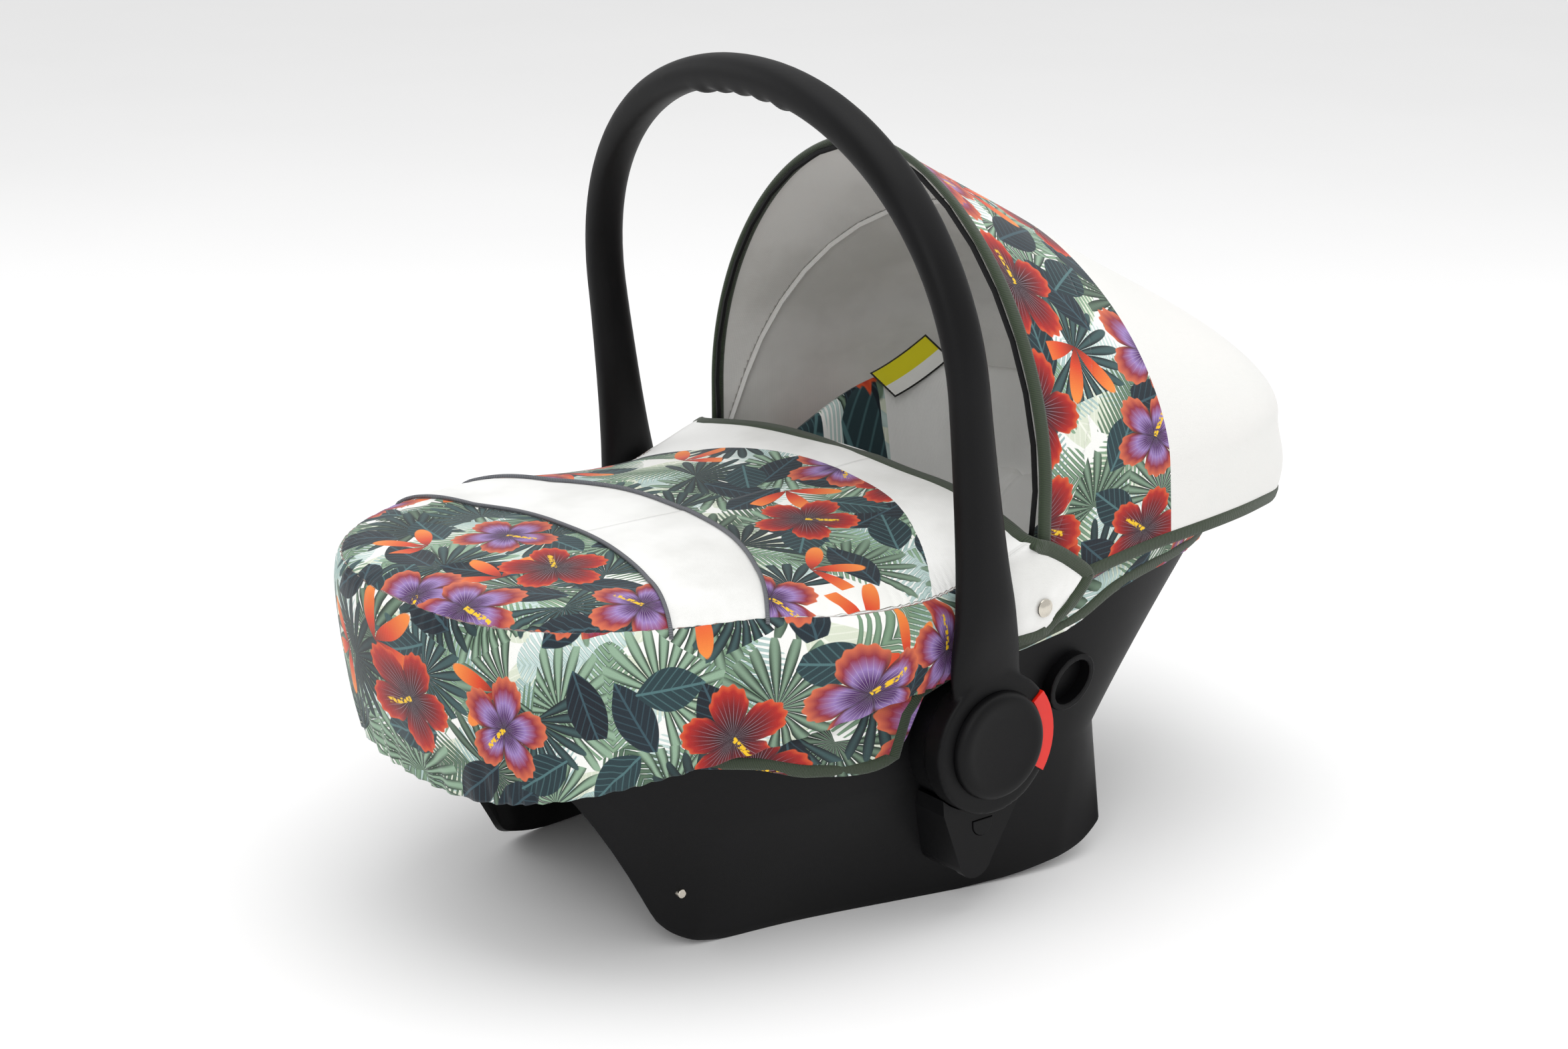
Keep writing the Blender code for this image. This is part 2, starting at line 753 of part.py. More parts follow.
def make_harness(pad):
    """A three-point harness: two shoulder straps that meet in one buckle on a crotch strap."""
    buckle_z = top_of(pad, 0.0, BUCKLE_Y) + BUCKLE_CLEAR
    buckle_low = buckle_z - 0.009
    buckle = block(
        "buckle_body", (-0.024, BUCKLE_Y - 0.030, buckle_low),
        (0.024, BUCKLE_Y + 0.022, buckle_z + 0.009), PLASTIC,
    )
    soften(buckle, 0.003)
    cut(
        buckle,
        block(
            "button_well", (-0.0145, BUCKLE_Y - 0.022, buckle_z + 0.002),
            (0.0145, BUCKLE_Y + 0.004, buckle_z + 0.020), PLASTIC,
        ),
        block(
            "tongue_mouth", (-0.0215, BUCKLE_Y + 0.006, buckle_z - 0.003),
            (0.0215, BUCKLE_Y + 0.030, buckle_z + 0.003), PLASTIC,
        ),
    )
    button = block(
        "buckle_button", (-0.0140, BUCKLE_Y - 0.0215, buckle_z + 0.0055),
        (0.0140, BUCKLE_Y + 0.0035, buckle_z + 0.0105), RED,
    )
    soften(button, 0.0012)
    set_origin(button, (0.0, BUCKLE_Y - 0.009, buckle_z))
    plate_y = BUCKLE_Y + 0.030
    for side, sign in SIDES.items():
        blade = sign * 0.0108
        tongue = block(
            f"tongue_{side}", (blade - 0.0100, BUCKLE_Y + 0.0065, buckle_z - 0.0012),
            (blade + 0.0100, plate_y + 0.002, buckle_z + 0.0012), STEEL,
        )
        low, high = sorted((sign * 0.0008, sign * 0.0410))
        join(
            tongue,
            block(
                "tongue_plate", (low, plate_y, buckle_z - 0.0012),
                (high, plate_y + 0.018, buckle_z + 0.0012), STEEL,
            ),
        )
        line = []
        start = plate_y + 0.018 + RESTING_GAP
        for step in range(11):
            share = step / 10
            x = sign * mix(0.0210, STRAP_X, ease(share * 1.5))
            y = mix(start, SLOT_Y - 0.010, share)
            spots = [
                (x + STRAP_HALF * reach, y + near)
                for reach in (-0.9, -0.4, 0.4, 0.9)
                for near in (-0.004, 0, 0.004)
            ]
            rest = max(top_of(pad, *spot) for spot in spots)
            line.append((x, y, mix(buckle_z, rest + RESTING_GAP + 0.0013, ease(share * 2.6))))
        end_y, end_z = line[-1][1], line[-1][2]
        under = bowl_height(STRAP_X, SLOT_Y) - 0.016
        line.append((sign * STRAP_X, end_y + 0.005, end_z + 0.0032))
        line.append((sign * STRAP_X, end_y + 0.009, end_z + 0.0020))
        line.append((sign * STRAP_X, end_y + 0.010, under))
        ribbon(f"shoulder_strap_{side}", line, STRAP_HALF * 0.9, STRAP_THICKNESS, WEBBING)
    crotch = []
    for step in range(7):
        share = step / 6
        y = mix(CROTCH_Y, BUCKLE_Y - 0.022, ease(share * 1.5 - 0.5))
        crotch.append((0.0, y, mix(0.036, buckle_low - RESTING_GAP, share)))
    ribbon("crotch_strap", crotch, 0.0185, STRAP_THICKNESS, WEBBING)


def soften(item, width):
    step = item.modifiers.new("edges", "BEVEL")
    step.width = width
    step.segments = 2
    step.limit_method = "ANGLE"
    step.angle_limit = math.radians(50)
    return bake(item)


# ---------------------------------------------------------------- hub and handle


def star(radius, depth, teeth):
    """A gear outline in (y, z)."""
    points = []
    for tooth in range(teeth):
        for share, reach in ((0.0, radius), (0.38, radius), (0.5, radius - depth), (0.88, radius - depth)):
            angle = 2 * math.pi * (tooth + share) / teeth
            points.append((HUB_Y + reach * math.cos(angle), HUB_HEIGHT + reach * math.sin(angle)))
    return points


def sector(inner, outer, start, end, steps=10):
    centre = (HUB_Y, HUB_HEIGHT)
    return arc(centre, inner, start, end, steps) + arc(centre, outer, end, start, steps)


RED_START = -35
RED_END = 38
RED_INNER = CAP_RADIUS + 0.0010
RED_OUTER = PLATE_RADIUS - 0.0003


def make_hub(side, sign):
    housing = drum(
        f"hub_housing_{side}", HOUSING_RADIUS, sign * HOUSING_INNER, sign * HOUSING_OUTER,
        HUB_Y, HUB_HEIGHT, PLASTIC,
    )
    cavity = PLATE_INNER - 0.0165
    cut(
        housing,
        drum(
            "spring_well", CUP_RADIUS, sign * cavity, sign * (HOUSING_OUTER + 0.01),
            HUB_Y, HUB_HEIGHT, PLASTIC,
        ),
        drum(
            "bolt_bore", AXLE_RADIUS + RUNNING_GAP, sign * (HOUSING_INNER + 0.005),
            sign * (cavity + 0.01), HUB_Y, HUB_HEIGHT, PLASTIC, sides=16,
        ),
    )
    bolt = drum(
        f"pivot_bolt_{side}", AXLE_RADIUS, sign * (HOUSING_INNER + 0.0053), sign * (CAP_INNER + 0.001),
        HUB_Y, HUB_HEIGHT, STEEL, sides=16,
    )
    head = drum(
        "bolt_head", BOLT_HEAD_RADIUS, sign * CAP_INNER, sign * (CAP_INNER + BOLT_HEAD_THICKNESS),
        HUB_Y, HUB_HEIGHT, STEEL, sides=16,
    )
    join(bolt, head)
    cap = drum(
        f"hub_cap_{side}", CAP_RADIUS, sign * CAP_INNER, sign * (CAP_INNER + CAP_THICKNESS - 0.003),
        HUB_Y, HUB_HEIGHT, PLASTIC,
    )
    dome = drum(
        "cap_dome", CAP_RADIUS, sign * (CAP_INNER + 0.003), sign * (CAP_INNER + CAP_THICKNESS),
        HUB_Y, HUB_HEIGHT, PLASTIC, end_radius=CAP_RADIUS - 0.004,
    )
    join(cap, dome)
    cut(
        cap,
        drum(
            "head_room", BOLT_HEAD_RADIUS + 0.0015, sign * (CAP_INNER - 0.002),
            sign * (CAP_INNER + BOLT_HEAD_THICKNESS + RUNNING_GAP + 0.0004),
            HUB_Y, HUB_HEIGHT, PLASTIC, sides=16,
        ),
    )
    set_origin(cap, HUB)
    red_low = CUP_END - 0.004
    red_high = CAP_INNER + 0.0015
    button = plate(
        f"handle_release_{side}", sector(RED_INNER, RED_OUTER, RED_START + 0.6, RED_END - 0.6),
        sign * red_low, sign * red_high, RED,
    )
    arm = block(
        "button_arm", (min(sign * red_low, sign * (red_low + 0.003)), HUB_Y + 0.010, HUB_HEIGHT - 0.006),
        (max(sign * red_low, sign * (red_low + 0.003)), HUB_Y + RED_INNER + 0.003, HUB_HEIGHT + 0.006), RED,
    )
    ring = drum(
        "button_ring", 0.015, sign * red_low, sign * (red_low + 0.003), HUB_Y, HUB_HEIGHT, RED, sides=16
    )
    join(button, arm, ring)
    cut(
        button,
        drum(
            "ring_bore", AXLE_RADIUS + RUNNING_GAP, sign * (red_low - 0.01), sign * (red_low + 0.01),
            HUB_Y, HUB_HEIGHT, RED, sides=16,
        ),
    )
    set_origin(button, HUB)
    gear_high = red_low - RUNNING_GAP
    gear = plate(
        f"lock_gear_{side}", star(GEAR_RADIUS, 0.004, GEAR_TEETH),
        sign * (gear_high - GEAR_THICKNESS), sign * gear_high, STEEL,
    )
    cut(
        gear,
        drum(
            "gear_bore", AXLE_RADIUS + RUNNING_GAP, sign * (gear_high - 0.01), sign * (gear_high + 0.01),
            HUB_Y, HUB_HEIGHT, STEEL, sides=16,
        ),
    )
    set_origin(gear, HUB)
    coil = []
    spring_start = cavity + SPRING_WIRE + RUNNING_GAP
    spring_end = gear_high - GEAR_THICKNESS - SPRING_WIRE - RUNNING_GAP
    for step in range(SPRING_TURNS * 9 + 1):
        angle = 2 * math.pi * step / 9
        along = mix(spring_start, spring_end, step / (SPRING_TURNS * 9))
        coil.append((
            sign * along,
            HUB_Y + SPRING_RADIUS * math.cos(angle),
            HUB_HEIGHT + SPRING_RADIUS * math.sin(angle),
        ))
    tube(f"lock_spring_{side}", coil, SPRING_WIRE, STEEL, resolution=0)


def make_adapter_socket(side, sign):
    socket = plate(
        f"adapter_socket_{side}", socket_outline(0.0), sign * SOCKET_INNER, sign * SOCKET_OUTER, PLASTIC
    )
    slot_low, slot_high = SOCKET_OUTER - 0.022, SOCKET_OUTER - 0.008
    cut(
        socket,
        block(
            "adapter_slot", (min(sign * slot_low, sign * slot_high), HUB_Y - 0.016, SOCKET_BOTTOM - 0.02),
            (max(sign * slot_low, sign * slot_high), HUB_Y + 0.010, HUB_HEIGHT - 0.056), PLASTIC,
        ),
        plate(
            "button_hole", button_outline(GAP), sign * (slot_high - 0.004),
            sign * (SOCKET_OUTER + 0.01), PLASTIC,
        ),
    )
    button = plate(
        f"adapter_button_{side}", button_outline(0.0), sign * (slot_high - 0.0005),
        sign * (SOCKET_OUTER + 0.0008), PLASTIC,
    )
    set_origin(button, (sign * SOCKET_OUTER, HUB_Y, SOCKET_BUTTON_HEIGHT))


def button_outline(gap):
    """A D lying on its round side."""
    radius = SOCKET_BUTTON_RADIUS + gap
    centre = (HUB_Y, SOCKET_BUTTON_HEIGHT + 0.003)
    points = arc(centre, radius, 180, 360, 10)
    return points + [(HUB_Y + radius, centre[1] + 0.003 + gap), (HUB_Y - radius, centre[1] + 0.003 + gap)]


def arch_point(share):
    """The handle's middle line, from the left hub (0) over the grip (0.5) to the right hub (1)."""
    leg = 0.243
    sign = 1 if share <= 0.5 else -1
    up = min(share, 1 - share) * 2
    if up < LEG_SHARE:
        height = leg * up / LEG_SHARE
        near = ease((0.105 - height) / 0.060)
        return sign * mix(LEG_X, PLATE_OUTER - 0.0066, near), height
    turn = (up - LEG_SHARE) / (1 - LEG_SHARE) * math.pi / 2
    x = LEG_X * power(math.cos(turn), 2 / 2.1)
    return sign * x, leg + (HANDLE_HEIGHT - leg) * power(math.sin(turn), 2 / 2.1)


LEG_SHARE = 0.42
LEG_DEPTH_AT = curve_through(
    (0.030, 0.058), (0.060, 0.058), (0.090, 0.050), (0.130, 0.041), (0.180, 0.0345),
    (0.250, LEG_DEPTH), (0.45, LEG_DEPTH),
)
LEG_THICKNESS_AT = curve_through(
    (0.000, 0.010), (0.040, 0.012), (0.090, LEG_THICKNESS), (0.30, LEG_THICKNESS), (0.40, GRIP_THICKNESS),
)


def lean(x, across, height):
    """Tips a point of the upright arch about the hub's axis."""
    y = across * math.cos(HANDLE_LEAN) - height * math.sin(HANDLE_LEAN)
    z = across * math.sin(HANDLE_LEAN) + height * math.cos(HANDLE_LEAN)
    return Vector((x, HUB_Y + y, HUB_HEIGHT + z))


def make_handle():
    rows = []
    legs = [0.03 + 0.39 * index / 7 for index in range(8)]
    bends = [0.42 + 0.38 * index / 6 for index in range(1, 7)]
    top = [0.80 + 0.20 * index / 10 for index in range(1, 11)]
    half = [share / 2 for share in legs + bends + top]
    shares = half + [1 - share for share in half[-2::-1]]
    sides = 10
    for share in shares:
        x, height = arch_point(share)
        before, after = arch_point(max(0.0, share - 0.002)), arch_point(min(1.0, share + 0.002))
        along = Vector((after[0] - before[0], 0, after[1] - before[1])).normalized()
        outward = Vector((along.z, 0, -along.x)) * -1
        if outward.dot(Vector((x, 0, height - 0.15))) < 0:
            outward.negate()
        deep = LEG_DEPTH_AT(height) / 2
        thick = LEG_THICKNESS_AT(height) / 2
        row = []
        for index in range(sides):
            angle = 2 * math.pi * index / sides
            across, out = power(math.cos(angle), 0.85) * deep, power(math.sin(angle), 0.85) * thick
            if out < 0 and height > 0.3 and abs(x) < GRIP_PITCH * GRIP_BUMPS / 2:
                wave = 0.5 + 0.5 * math.cos(2 * math.pi * x / GRIP_PITCH)
                out -= GRIP_BUMP * wave * abs(math.sin(angle))
            middle = Vector((x, 0, height)) + outward * out
            row.append(lean(middle.x, across, middle.z))
        rows.append(row)
    handle = loft("carry_handle", rows, PLASTIC, closed=True, cap_start=True, cap_end=True)
    for sign in SIDES.values():
        join(
            handle,
            drum(
                "end_plate", PLATE_RADIUS, sign * PLATE_INNER, sign * PLATE_OUTER,
                HUB_Y, HUB_HEIGHT, PLASTIC, sides=36,
            ),
        )
        low, high = sorted((sign * (PLATE_INNER - 0.01), sign * (CUP_END + 0.0005)))
        cut(
            handle,
            drum("cup", CUP_RADIUS, sign * (PLATE_INNER - 0.01), sign * CUP_END, HUB_Y, HUB_HEIGHT, PLASTIC),
            drum(
                "bolt_hole", AXLE_RADIUS + RUNNING_GAP, sign * (CUP_END - 0.004), sign * (PLATE_OUTER + 0.01),
                HUB_Y, HUB_HEIGHT, PLASTIC, sides=16,
            ),
            plate(
                "button_window", sector(CAP_RADIUS + 0.0004, PLATE_RADIUS + 0.010, RED_START, RED_END),
                sign * (PLATE_INNER - 0.01), sign * (PLATE_OUTER + 0.03), PLASTIC,
            ),
            block(
                "arm_slot", (low, HUB_Y + 0.020, HUB_HEIGHT - 0.0065),
                (high, HUB_Y + 0.045, HUB_HEIGHT + 0.0065), PLASTIC,
            ),
        )
    return set_origin(handle, HUB)


def make_belt_guide(side, sign):
    outer = SHELL_HALF_WIDTH + 0.006
    guide = plate(
        f"belt_guide_{side}", guide_outline(GUIDE_LONG, GUIDE_SHORT), sign * GUIDE_INNER,
        sign * outer, PLASTIC,
    )
    cut(
        guide,
        plate(
            "guide_recess", guide_outline(GUIDE_LONG - 0.0045, GUIDE_SHORT - 0.0045),
            sign * (GUIDE_INNER + 0.003), sign * (outer + 0.01), PLASTIC,
        ),
    )


# ---------------------------------------------------------------- hood


def hood_half_width(y):
    """Half the hood's width at its shoulder: straight sides that round in to the rear."""
    wide, rear = 0.150, REAR - 0.023
    width = HOOD_OUT - HOOD_THICKNESS
    if y < wide:
        return width
    return width * max(0.0, 1 - (min(1.0, (y - wide) / (rear - wide))) ** 2.5) ** (1 / 2.5)


def hood_rise(y):
    """The hood's ridge above its shoulder."""
    start, rear = 0.200, REAR - 0.023
    rise = HOOD_TOP - HOOD_SLOPE * (y - HOOD_FRONT) - HOOD_SHOULDER
    rounding = max(0.0, 1 - max(0.0, min(1.0, (y - start) / (rear - start))) ** 7) ** 0.5
    return max(0.0, rise) * rounding


def hood_height(x, y):
    half = hood_half_width(y)
    if half < 1e-6:
        return HOOD_SHOULDER
    inside = max(0.0, 1 - min(1.0, abs(x) / half) ** HOOD_ROUND)
    return HOOD_SHOULDER + hood_rise(y) * inside ** (1 / HOOD_ROUND)


HOOD_HEM = curve_through(
    (HOOD_FRONT, 0.2155), (0.070, 0.222), (0.150, 0.231), (0.250, 0.234), (0.325, 0.222), (REAR, 0.216),
)


def hood_plan(turn, grow):
    """The hood's plan outline, from the rear (0) to the front (pi / 2), grown outwards at the rear."""
    wide, rear = 0.150, REAR - 0.023 + grow
    width = HOOD_OUT - HOOD_THICKNESS
    if turn < math.pi / 3:
        angle = turn * 1.5
        return width * power(math.sin(angle), 0.8), wide + (rear - wide) * power(math.cos(angle), 0.8)
    return width, mix(wide, HOOD_FRONT, (turn - math.pi / 3) / (math.pi / 6))


def hood_rows():
    """Rows of the hood's inner face, from the left front, round the rear, to the right front."""
    half = [math.pi / 2 * (1 - index / 13) for index in range(13)]
    turns = [(turn, 1) for turn in half] + [(0.0, 1)] + [(turn, -1) for turn in half[::-1]]
    rows = []
    for level, grow in ((0.0, 0.0205), (0.5, 0.018), (1.0, 0.0)):
        row = []
        for turn, sign in turns:
            x, y = hood_plan(turn, grow)
            row.append(Vector((sign * x, y, mix(HOOD_HEM(y), HOOD_SHOULDER, level))))
        rows.append(row)
    for step in range(1, 8):
        inward = 1 - math.cos(math.pi / 2 * step / 7)
        row = []
        for turn, sign in turns:
            x, y = hood_plan(turn, 0.0)
            spine_y = mix(REAR - 0.10, HOOD_FRONT, turn / (math.pi / 2))
            px, py = x * (1 - inward), mix(y, spine_y, inward)
            row.append(Vector((sign * px, py, hood_height(px, py))))
        rows.append(row)
    return rows


def split_at_bow(item, keep_front):
    """Keeps the part of the hood in front of the middle bow's plane, or behind it."""
    normal = Vector((0, math.cos(MID_BOW_ANGLE), -math.sin(MID_BOW_ANGLE)))
    shift = -0.0004 if keep_front else 0.0004
    shape = bmesh.new()
    shape.from_mesh(item.data)
    bmesh.ops.bisect_plane(
        shape, geom=shape.verts[:] + shape.edges[:] + shape.faces[:], plane_co=HINGE + normal * shift,
        plane_no=normal, clear_outer=keep_front, clear_inner=not keep_front,
    )
    shape.to_mesh(item.data)
    shape.free()
    return item


def make_hood():
    for name, keep_front in (("hood_front_panel", True), ("hood_rear_panel", False)):
        panel = loft(name, hood_rows(), FABRIC if keep_front else WHITE)
        split_at_bow(panel, keep_front)
        face_away(panel, Vector((0, 0.15, 0.25)))
        thicken(panel, 0.0, HOOD_THICKNESS)
        set_origin(panel, HINGE)


def bow_line(angle, inset, foot_x, steps=9):
    """A bow's line inside the hood, in a plane through the hinge that leans back by the angle."""
    half = []
    for step in range(steps + 1):
        turn = math.pi / 2 * step / steps
        y = HOOD_FRONT
        for _ in range(30):
            half_width = hood_half_width(y) - inset
            x = half_width * power(math.cos(turn), 2 / HOOD_ROUND)
            rise = hood_rise(y) - inset
            z = HOOD_SHOULDER + rise * power(math.sin(turn), 2 / HOOD_ROUND)
            y = HOOD_FRONT + (z - HINGE_HEIGHT) * math.tan(angle)
        half.append(Vector((x, y, z)))
    base_y = HOOD_FRONT
    foot = [Vector((foot_x, base_y, HINGE_HEIGHT + 0.004))]
    knee = HINGE_HEIGHT + 0.028
    foot.append(Vector((foot_x, base_y + (knee - HINGE_HEIGHT) * math.tan(angle), knee)))
    points = foot + half
    return points + [Vector((-point.x, point.y, point.z)) for point in points[-2::-1]]


EYE_WIDTH = 0.004
EYE_RADIUS = 0.007
EYE_PIN = 0.0028
FRONT_EYE_X = LIP_OUT - 0.0075
MID_EYE_X = LIP_OUT - 0.0028


def make_bow(name, angle, eye_x, inset):
    bow = tube(name, bow_line(angle, inset, eye_x), BOW_RADIUS, PLASTIC, resolution=1)
    for sign in SIDES.values():
        eye = drum(
            "eye", EYE_RADIUS, sign * (eye_x - EYE_WIDTH / 2), sign * (eye_x + EYE_WIDTH / 2),
            HOOD_FRONT, HINGE_HEIGHT, PLASTIC, sides=20,
        )
        join(bow, eye)
        cut(
            bow,
            drum(
                "eye_hole", EYE_PIN + RUNNING_GAP, sign * (eye_x - 0.01), sign * (eye_x + 0.01),
                HOOD_FRONT, HINGE_HEIGHT, PLASTIC, sides=16,
            ),
        )
    return set_origin(bow, HINGE)


def make_bow_socket(side, sign):
    """The bracket on the rim that carries both bows on one pin."""
    inner, face = LIP_OUT - 0.0245, FRONT_EYE_X - EYE_WIDTH / 2 - RUNNING_GAP
    foot = RIM_HEIGHT(HOOD_FRONT) - 0.003
    low, high = sorted((sign * inner, sign * face))
    bracket = block(
        f"bow_bracket_{side}", (low, HOOD_FRONT - 0.011, foot),
        (high, HOOD_FRONT + 0.011, HINGE_HEIGHT + 0.008), PLASTIC,
    )
    pin = drum(
        "pin", EYE_PIN, sign * (face - 0.003), sign * (MID_EYE_X + EYE_WIDTH / 2 + 0.0004),
        HOOD_FRONT, HINGE_HEIGHT, PLASTIC, sides=16,
    )
    join(bracket, pin)
    cut(bracket, seat_block("rim_seat", covered_rows(), -0.008, RESTING_GAP))


# ---------------------------------------------------------------- foot cover

FOOT_FRONT = FRONT + FOOT_COVER_THICKNESS / 2
FOOT_WIDE = -0.100
FOOT_SQUARE = 2.6
FOOT_HEM = curve_through(
    (FRONT, 0.122), (-0.322, 0.138), (-0.260, 0.153), (-0.179, 0.163), (-0.080, 0.172),
    (0.000, 0.186), (0.030, 0.188), (EAR_END, 0.204),
)
FOOT_SEAM = curve_through(
    (FRONT, 0.251), (-0.263, 0.251), (-0.198, 0.249), (-0.133, 0.239), (-0.065, 0.236),
    (-0.020, 0.246), (0.015, 0.258), (0.035, 0.260), (EAR_END, 0.244),
)
EAR_EDGE = curve_through(
    (0.0, 0.036), (0.18, 0.058), (0.5, EAR_END), (0.7, 0.068), (0.85, 0.052), (1.0, HOOD_FRONT - 0.006),
    (1.12, HOOD_FRONT - 0.007), (1.35, 0.027), (1.65, 0.036), (2.0, 0.040),
)


def foot_plan(way, grow):
    """The foot cover's plan outline, from the front centre (0) to the end of the ear (1)."""
    half_width = FOOT_OUT - FOOT_COVER_THICKNESS / 2 + grow
    if way < 0.6:
        angle = way / 0.6 * math.pi / 2
        x = half_width * power(math.sin(angle), 2 / FOOT_SQUARE)
        reach = FOOT_WIDE - FOOT_FRONT
        return x, FOOT_WIDE - reach * power(math.cos(angle), 2 / FOOT_SQUARE)
    return half_width, mix(FOOT_WIDE, EAR_END, (way - 0.6) / 0.4)


def foot_point(way, level):
    """A point of the foot cover: level 0 is its hem, 1 its seam and 2 its middle line."""
    hug = -0.0034 * ease(1 - level / 0.18)
    x, y = foot_plan(way, 0.0)
    ear = ease((way - 0.6) / 0.4)
    y += (EAR_EDGE(level) - EAR_END) * ear
    seam = FOOT_SEAM(y)
    if level <= 1:
        tuck = hug * (x / FOOT_OUT)
        front_tuck = 0.018 * (1 - level) ** 1.5 * (1 - ease(way / 0.6))
        return Vector((x + tuck, y + front_tuck, mix(FOOT_HEM(y), seam, level)))
    inward = level - 1
    spine_y = mix(-0.240, EAR_EDGE(2.0), ease(way))
    px, py = x * (1 - inward), mix(y, spine_y, inward)
    crown = mix(FOOT_TOP, FOOT_TOP_REAR, ease((py + 0.09) / 0.12)) - seam
    return Vector((px, py, seam + crown * math.sin(math.pi / 2 * min(1.0, inward * 1.25)) ** 0.8))


def make_foot_cover():
    ways = [index / 15 for index in range(16)]
    both = [(way, 1) for way in ways[::-1]] + [(way, -1) for way in ways[1:]]
    levels = (0.0, 0.18, 0.5, 0.7, 0.85, 1.0, 1.12, 1.35, 1.65, 2.0)
    rows = []
    for level in levels:
        row = []
        for way, sign in both:
            point = foot_point(way, level)
            row.append(Vector((sign * point.x, point.y, point.z)))
        rows.append(row)
    cover = loft("foot_cover", rows, FABRIC)
    thicken(cover, -FOOT_COVER_THICKNESS / 2, FOOT_COVER_THICKNESS / 2)
    for side, sign in SIDES.items():
        drum(
            f"snap_{side}", SNAP_RADIUS, sign * (FOOT_OUT + 0.0002), sign * (FOOT_OUT + 0.0018),
            SNAP_Y, SNAP_Z, STEEL, sides=16, end_radius=SNAP_RADIUS - 0.002,
        )


# ---------------------------------------------------------------- build


def build():
    make_shell()
    make_shell_pins()
    make_seat_cover()
    make_harness(make_pads())
    for side, sign in SIDES.items():
        make_hub(side, sign)
        make_adapter_socket(side, sign)
        make_belt_guide(side, sign)
        make_bow_socket(side, sign)
    make_handle()
    make_hood()
    make_bow("front_bow", 0.0, FRONT_EYE_X, FRONT_BOW_INSET)
    make_bow("middle_bow", MID_BOW_ANGLE, MID_EYE_X, MIDDLE_BOW_INSET)
    make_foot_cover()


clear_scene()
PARTS = make_collection("infant_car_seat")
CUTTERS = make_collection("cutters", hidden=True)
PLASTIC = make_material("black_plastic", (0.012, 0.012, 0.013), 0.55)
STEEL = make_material("nickel_steel", (0.62, 0.60, 0.56), 0.30, 1.0)
FABRIC = make_material("printed_fabric", (0.45, 0.48, 0.42), 0.85)
WHITE = make_material("white_fabric", (0.90, 0.90, 0.88), 0.60)
WEBBING = make_material("black_webbing", (0.02, 0.02, 0.02), 0.80)
RED = make_material("red_plastic", (0.75, 0.02, 0.01), 0.40)
YELLOW = make_material("yellow_label", (0.85, 0.75, 0.05), 0.60)
build()
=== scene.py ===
import json
import math

import bmesh
import bpy
from mathutils import Matrix, Vector, noise
from mathutils.bvhtree import BVHTree


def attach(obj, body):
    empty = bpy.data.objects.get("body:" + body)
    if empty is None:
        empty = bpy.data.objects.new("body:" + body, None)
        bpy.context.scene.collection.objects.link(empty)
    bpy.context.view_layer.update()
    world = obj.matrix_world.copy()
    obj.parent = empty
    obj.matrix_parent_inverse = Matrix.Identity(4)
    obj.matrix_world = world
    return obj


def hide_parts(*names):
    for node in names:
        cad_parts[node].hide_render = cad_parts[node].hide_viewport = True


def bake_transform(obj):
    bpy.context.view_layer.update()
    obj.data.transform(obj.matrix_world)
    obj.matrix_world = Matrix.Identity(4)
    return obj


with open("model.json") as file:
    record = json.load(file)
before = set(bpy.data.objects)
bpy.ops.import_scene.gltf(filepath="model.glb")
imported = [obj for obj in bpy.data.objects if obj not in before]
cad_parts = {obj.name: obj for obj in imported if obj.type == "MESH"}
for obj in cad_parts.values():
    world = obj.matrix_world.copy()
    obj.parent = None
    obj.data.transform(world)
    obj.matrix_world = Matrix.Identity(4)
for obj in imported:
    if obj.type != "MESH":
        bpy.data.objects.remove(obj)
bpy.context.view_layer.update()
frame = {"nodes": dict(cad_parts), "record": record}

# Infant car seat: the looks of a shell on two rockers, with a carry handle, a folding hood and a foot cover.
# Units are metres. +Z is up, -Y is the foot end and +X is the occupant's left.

SIDES = {"left": 1.0, "right": -1.0}
JOINTS = {joint["name"]: joint for joint in frame["record"]["behaviour"]["joints"]}
HUB = Vector(JOINTS["handle_pivot"]["pos_m"])
HINGE = Vector(JOINTS["hood_fold"]["pos_m"])
MID_BOW_ANGLE = math.radians(24.0)

# ---------------------------------------------------------------- shape helpers


def power(value, exponent):
    return math.copysign(abs(value) ** exponent, value)


def mix(low, high, share):
    return low + (high - low) * share


def ease(share):
    share = min(1.0, max(0.0, share))
    return share * share * (3 - 2 * share)


def curve_through(*points):
    """A smooth function through (position, value) points, level past its ends."""
    slopes = []
    for index in range(len(points)):
        before = points[max(0, index - 1)]
        after = points[min(len(points) - 1, index + 1)]
        slopes.append((after[1] - before[1]) / (after[0] - before[0]))

    def value(position):
        if position <= points[0][0]:
            return points[0][1]
        for index in range(len(points) - 1):
            (start, low), (end, high) = points[index], points[index + 1]
            if position <= end:
                run = end - start
                share = (position - start) / run
                square, cube = share**2, share**3
                return (
                    low * (2 * cube - 3 * square + 1)
                    + run * slopes[index] * (cube - 2 * square + share)
                    + high * (3 * square - 2 * cube)
                    + run * slopes[index + 1] * (cube - square)
                )
        return points[-1][1]

    return value


def outline(turn, half_width, front, wide, rear, front_square, rear_square):
    """A plan outline's point, at a turn from the front (0) past +X to the rear (pi)."""
    forward = math.cos(turn) > 0
    square = front_square if forward else rear_square
    reach = wide - front if forward else rear - wide
    x = half_width * power(math.sin(turn), 2 / square)
    return x, wide - reach * power(math.cos(turn), 2 / square)


